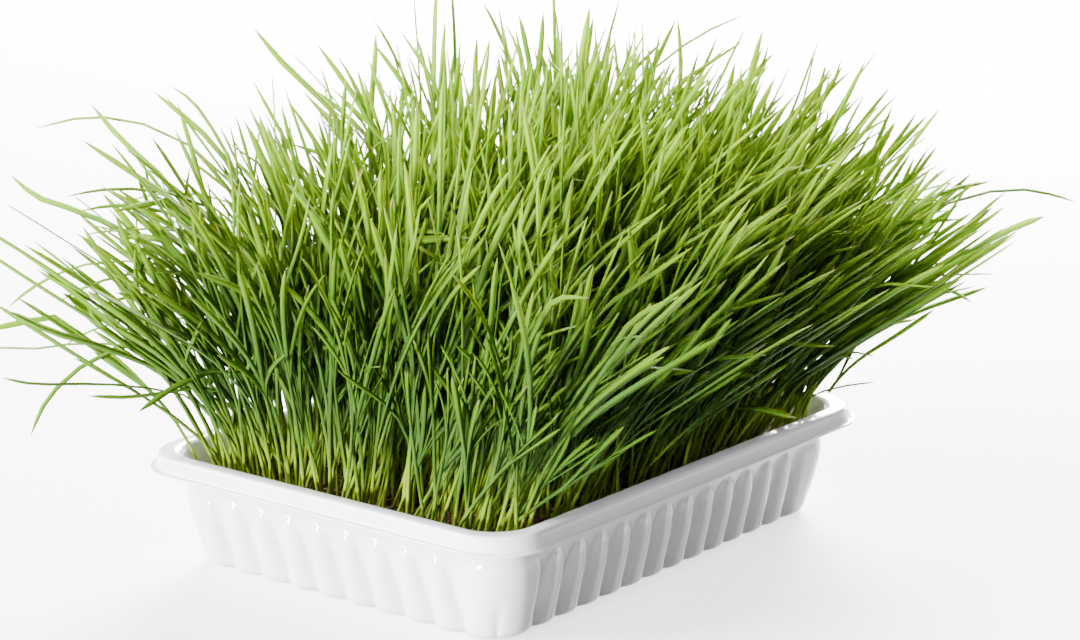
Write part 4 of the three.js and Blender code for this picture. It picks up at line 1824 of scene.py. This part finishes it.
    def sprout(self, cell: Cell) -> Leaves:
        """Draws the leaves of a tuft, each anew until it keeps clear of the tray.

        Args:
            cell: The tuft's place.

        Returns:
            The tuft's leaves.
        """
        draw = np.random.default_rng(self.seed + cell.number)
        plants = self.plant(cell, draw)
        in_front = plants.root @ self.lens.toward > self.front_from
        in_front |= plants.root @ self.lens.across > self.right_from
        arches = (draw.random(len(plants)) < self.arching_share) & cell.is_edge & ~in_front
        lines = np.zeros((len(plants), self.rule.fine_steps + 1, 3))
        headings, lengths = np.zeros_like(lines), np.ones(len(plants))
        waiting = np.arange(len(plants))
        for _ in range(self.redraws):
            grown = self.grow(plants.some(waiting), arches[waiting], draw)
            lines[waiting], headings[waiting], lengths[waiting] = grown
            waiting = waiting[~self.is_clear(grown[0])]
            if not len(waiting):
                break
        kept = np.setdiff1d(np.arange(len(plants)), waiting)
        rule = self.rule
        starts = np.where(plants.is_later, rule.later_start * plants.sheath / lengths, 0)[kept]
        narrower = np.where(arches[kept], rule.arch_narrower, 1)
        half_widths = draw.uniform(*rule.half_width, len(kept)) * narrower
        tones = draw.random(len(kept))
        leaves = self.leaves(lines[kept], headings[kept], starts, plants.sheath[kept] / lengths[kept],
                             rule.opening / lengths[kept], half_widths, tones, draw)
        for stray in STRAYS:
            if self.holds(cell, stray):
                leaves = leaves.with_more(self.stray_leaf(stray, draw))
        return leaves

    def holds(self, cell: Cell, stray: Stray) -> bool:
        """Whether a stray leaf grows from a tuft."""
        return bool((np.abs(np.array(stray.root) - cell.middle) <= cell.half + self.spacing).all())

    def stray_leaf(self, stray: Stray, draw: Generator) -> Leaves:
        """The leaf of a stray: a smooth line from its root through the places that it passes.

        Args:
            stray: The stray.
            draw: The seeded draw.

        Returns:
            One leaf.
        """
        root = np.array([*stray.root, self.root_level])
        depth = self.lens.depth(root)
        shares = np.linspace(0, 1, len(stray.passes) + 1)[1:]
        knots = [root] + [self.lens.place(column, row, depth - stray.nearer * share ** self.stray_late)
                          for (column, row), share in zip(stray.passes, shares)]
        line = smooth_line(np.array(knots), self.rule.fine_steps)
        heading = np.gradient(line, axis=0)
        heading /= np.linalg.norm(heading, axis=1, keepdims=True)
        length = np.linalg.norm(np.diff(line, axis=0), axis=1).sum()
        facts = (np.array([value]) for value in (
            0.0, self.stray_sheath / length, self.rule.opening / length,
            self.stray_wider * stray.half_width, stray.tone))
        leaf = self.leaves(line[None], heading[None], *facts, draw)
        stops = np.round(leaf.runs * self.rule.fine_steps).astype(int)
        broad = np.cross(heading[stops[0]], self.lens.back)
        leaf.sides[0] = broad / np.linalg.norm(broad, axis=1, keepdims=True)
        return leaf

    def leaves(self, lines: ndarray, headings: ndarray, starts: ndarray, sheaths: ndarray,
               openings: ndarray, half_widths: ndarray, tones: ndarray,
               draw: Generator) -> Leaves:
        """Brings fine middle lines to the rule's stops and gives them facing and width.

        Args:
            lines: The middle lines.
            headings: The headings along them.
            starts: Where along it each leaf comes out of its plant.
            sheaths: Where along it each leaf parts from its stem.
            openings: How long it takes to open flat from there.
            half_widths: Half the width of each.
            tones: The tone of each.
            draw: The seeded draw.

        Returns:
            The leaves.
        """
        rule, count = self.rule, len(lines)
        share = np.array(rule.stops) / rule.fine_steps
        runs = starts[:, None] + (1 - starts[:, None]) * share
        stops = np.round(runs * rule.fine_steps).astype(int)[..., None]
        lines, headings = (np.take_along_axis(values, stops, axis=1) for values in (lines, headings))
        sweep = lines[:, -1, :2] - lines[:, 0, :2]
        bearing = np.arctan2(sweep[:, 1], sweep[:, 0])
        level = np.stack([-np.sin(bearing), np.cos(bearing), np.zeros(count)], -1)[:, None]
        level = level - headings * (level * headings).sum(-1, keepdims=True)
        level /= np.linalg.norm(level, axis=-1, keepdims=True)
        lifted = np.cross(headings, level)
        turn = draw.uniform(-1, 1, count) * rule.turn
        twist = draw.uniform(-1, 1, count) * rule.twist
        angle = (turn[:, None] + twist[:, None] * runs)[..., None]
        sides = level * np.cos(angle) + lifted * np.sin(angle)
        tip = 1 - np.clip((runs - rule.tip_from) / (1 - rule.tip_from), 0, 1) ** rule.tip_power
        widened = np.clip((runs - sheaths[:, None]) / rule.widening, 0, 1)
        swell = rule.foot_width + (1 - rule.foot_width) * widened
        widths = np.maximum(half_widths[:, None] * swell * tip, rule.finest)
        opened = np.clip((runs - rule.opening_from * sheaths[:, None]) / openings[:, None], 0, 1)
        return Leaves(lines, sides, widths, runs, opened * opened * (3 - 2 * opened), tones)

    def build(self, palette: Palette) -> None:
        """Makes each tuft with its clod and puts it on its body in place of its solids."""
        skin = leaf_tree(palette.leaf)
        bed = Bed("Root mat", palette.mat, palette)
        total = 0
        for cell in self.cells():
            leaves = self.sprout(cell)
            total += len(leaves.lines)
            blades = grown_object("blades", leaves.mesh(), skin, {})
            litter = self.edge_litter if cell.is_edge else self.inner_litter
            top = self.clod_bottom + self.clod_height - self.clod_edge
            pad = earth_block("clod_pad", cell.half, self.clod_corner, self.clod_bottom, top,
                              self.clod_steps, taper=-self.clod_flare, crown=self.clod_crown)
            pad.transform(Matrix.Translation((*(cell.middle * MM), 0)))
            clod = bed.grow("clod", pad, self.unevenness, self.lump_size, litter,
                            self.bed_seed + cell.number)
            tuft = joined_object(f"tuft_{cell.number:02d}", [blades, clod])
            drop_attributes(tuft.data, ("side", "half_width", "opened"))
            tuft.data.shade_smooth()
            hand_in(tuft, "grass", f"grass_tuft_{cell.number:02d}")
        LOG.info("%d leaves", total)


def smooth_line(knots: ndarray, steps: int, upright: float = 0.35, span_steps: int = 24) -> ndarray:
    """A smooth line through knots, in steps of one length, which starts nearly upright.

    Args:
        knots: The knots.
        steps: The number of steps.
        upright: How much of the first span's level lean the line starts with.
        span_steps: The number of finer steps between two knots.

    Returns:
        The line's points.
    """
    chords = np.linalg.norm(np.diff(knots, axis=0), axis=1)[:, None]
    slopes = np.diff(knots, axis=0) / chords
    inner = (slopes[:-1] * chords[1:] + slopes[1:] * chords[:-1]) / (chords[:-1] + chords[1:])
    first = np.array([*(upright * slopes[0][:2]), 1.0])
    tangents = np.vstack([first, inner, slopes[-1:]])
    t = np.linspace(0, 1, span_steps, endpoint=False)[:, None]
    spans = []
    for start, end, leave, arrive, chord in zip(knots, knots[1:], tangents, tangents[1:], chords):
        spans.append((2 * t ** 3 - 3 * t ** 2 + 1) * start + (t ** 3 - 2 * t ** 2 + t) * chord * leave
                     + (3 * t ** 2 - 2 * t ** 3) * end + (t ** 3 - t ** 2) * chord * arrive)
    dense = np.vstack([*spans, knots[-1:]])
    walked = np.concatenate([[0], np.cumsum(np.linalg.norm(np.diff(dense, axis=0), axis=1))])
    places = np.linspace(0, walked[-1], steps + 1)
    return np.column_stack([np.interp(places, walked, dense[:, axis]) for axis in range(3)])


# Studio


@dataclass(frozen=True)
class Lamp:
    """A soft square light: its place, its aim and its side in metres, and its power in watts."""

    name: str
    place: Point
    aim: Point
    side: float
    power: float


@dataclass
class Studio:
    """The camera, the lights and the floor.

    key_way, key_strength, key_spread: The way to the broad far light, its strength, and its width
        in degrees.
    lamps: The nearer lights: a low one before the left wall, one behind, and one along the right rim.
    surround: How bright the pale surround is, as a light and to the viewer.
    floor_half: Half the length of the floor's side, in metres.
    """

    lens: Lens
    key_way: Point = (-0.64, 0.58, 0.5)
    key_strength: float = 13.0
    key_spread: float = 36.0
    lamps: tuple[Lamp, ...] = (
        Lamp("low", (-1.7, -0.03, 0.08), (-0.1, 0.0, 0.0), 0.3, 210.0),
        Lamp("back", (1.9, 1.0, 1.1), (0.0, 0.0, 0.1), 1.3, 580.0),
        Lamp("edge", (2.2, -0.14, 0.3), (0.0, -0.05, 0.02), 0.4, 90.0),
    )
    surround: Span = (0.66, 3.2)
    floor_half: float = 6.0

    def camera(self) -> None:
        """Sets the camera at the photograph's viewing angle."""
        lens = self.lens
        data = bpy.data.cameras.new("camera")
        data.sensor_width = lens.sensor
        data.lens = lens.focal_pixels / lens.picture_width * lens.sensor
        data.shift_x = (lens.picture_width / 2 - lens.axis_column) / lens.picture_width
        data.clip_start, data.clip_end = 0.05, 60
        camera = placed_object("camera", data)
        camera.location = Vector(lens.eye) * MM
        camera.rotation_euler = Vector(-lens.back).to_track_quat("-Z", "Y").to_euler()
        bpy.context.scene.camera = camera

    def key(self) -> None:
        """Sets the broad far light, as from a large window."""
        data = bpy.data.lights.new("key", "SUN")
        data.energy, data.angle = self.key_strength, math.radians(self.key_spread)
        lamp = placed_object("key", data)
        lamp.rotation_euler = Vector(self.key_way).to_track_quat("Z", "Y").to_euler()

    def hang(self, lamp: Lamp) -> None:
        """Hangs a nearer light."""
        data = bpy.data.lights.new(lamp.name, "AREA")
        data.size, data.energy = lamp.side, lamp.power
        hung = placed_object(lamp.name, data)
        hung.location = lamp.place
        hung.rotation_euler = (Vector(lamp.aim) - Vector(lamp.place)).to_track_quat("-Z", "Y").to_euler()

    def build(self, effects: Effects) -> None:
        """Sets the camera, the lights, the pale surround and the floor."""
        self.camera()
        self.key()
        for lamp in self.lamps:
            self.hang(lamp)
        world = bpy.data.worlds.new("surround")
        bpy.context.scene.world = world
        world.use_nodes = True
        background = world.node_tree.nodes["Background"]
        background.inputs["Color"].default_value = (1, 1, 1, 1)
        graph = Graph(world.node_tree)
        seen = graph.add("ShaderNodeLightPath").outputs["Is Camera Ray"]
        graph.feed(background.inputs["Strength"], graph.blend(seen, *self.surround))
        half = self.floor_half / MM
        corners = np.array([(-half, -half, 0), (half, -half, 0), (half, half, 0), (-half, half, 0)])
        floor = placed_object("floor", plain_mesh("floor", corners, [(0, 1, 2, 3)]))
        floor.data.materials.append(Ground().material(effects))


def main() -> None:
    """Builds the pieces in order and sets the studio round them."""
    logging.basicConfig(level=logging.INFO, format="%(message)s")
    lens = Lens()
    effects = Effects.build()
    palette = Palette.build(effects)
    Tray().build(palette)
    GrowingMedium().build(palette)
    GrassStand(lens).build(palette)
    Studio(lens).build(effects)


if __name__ == "__main__":
    main()
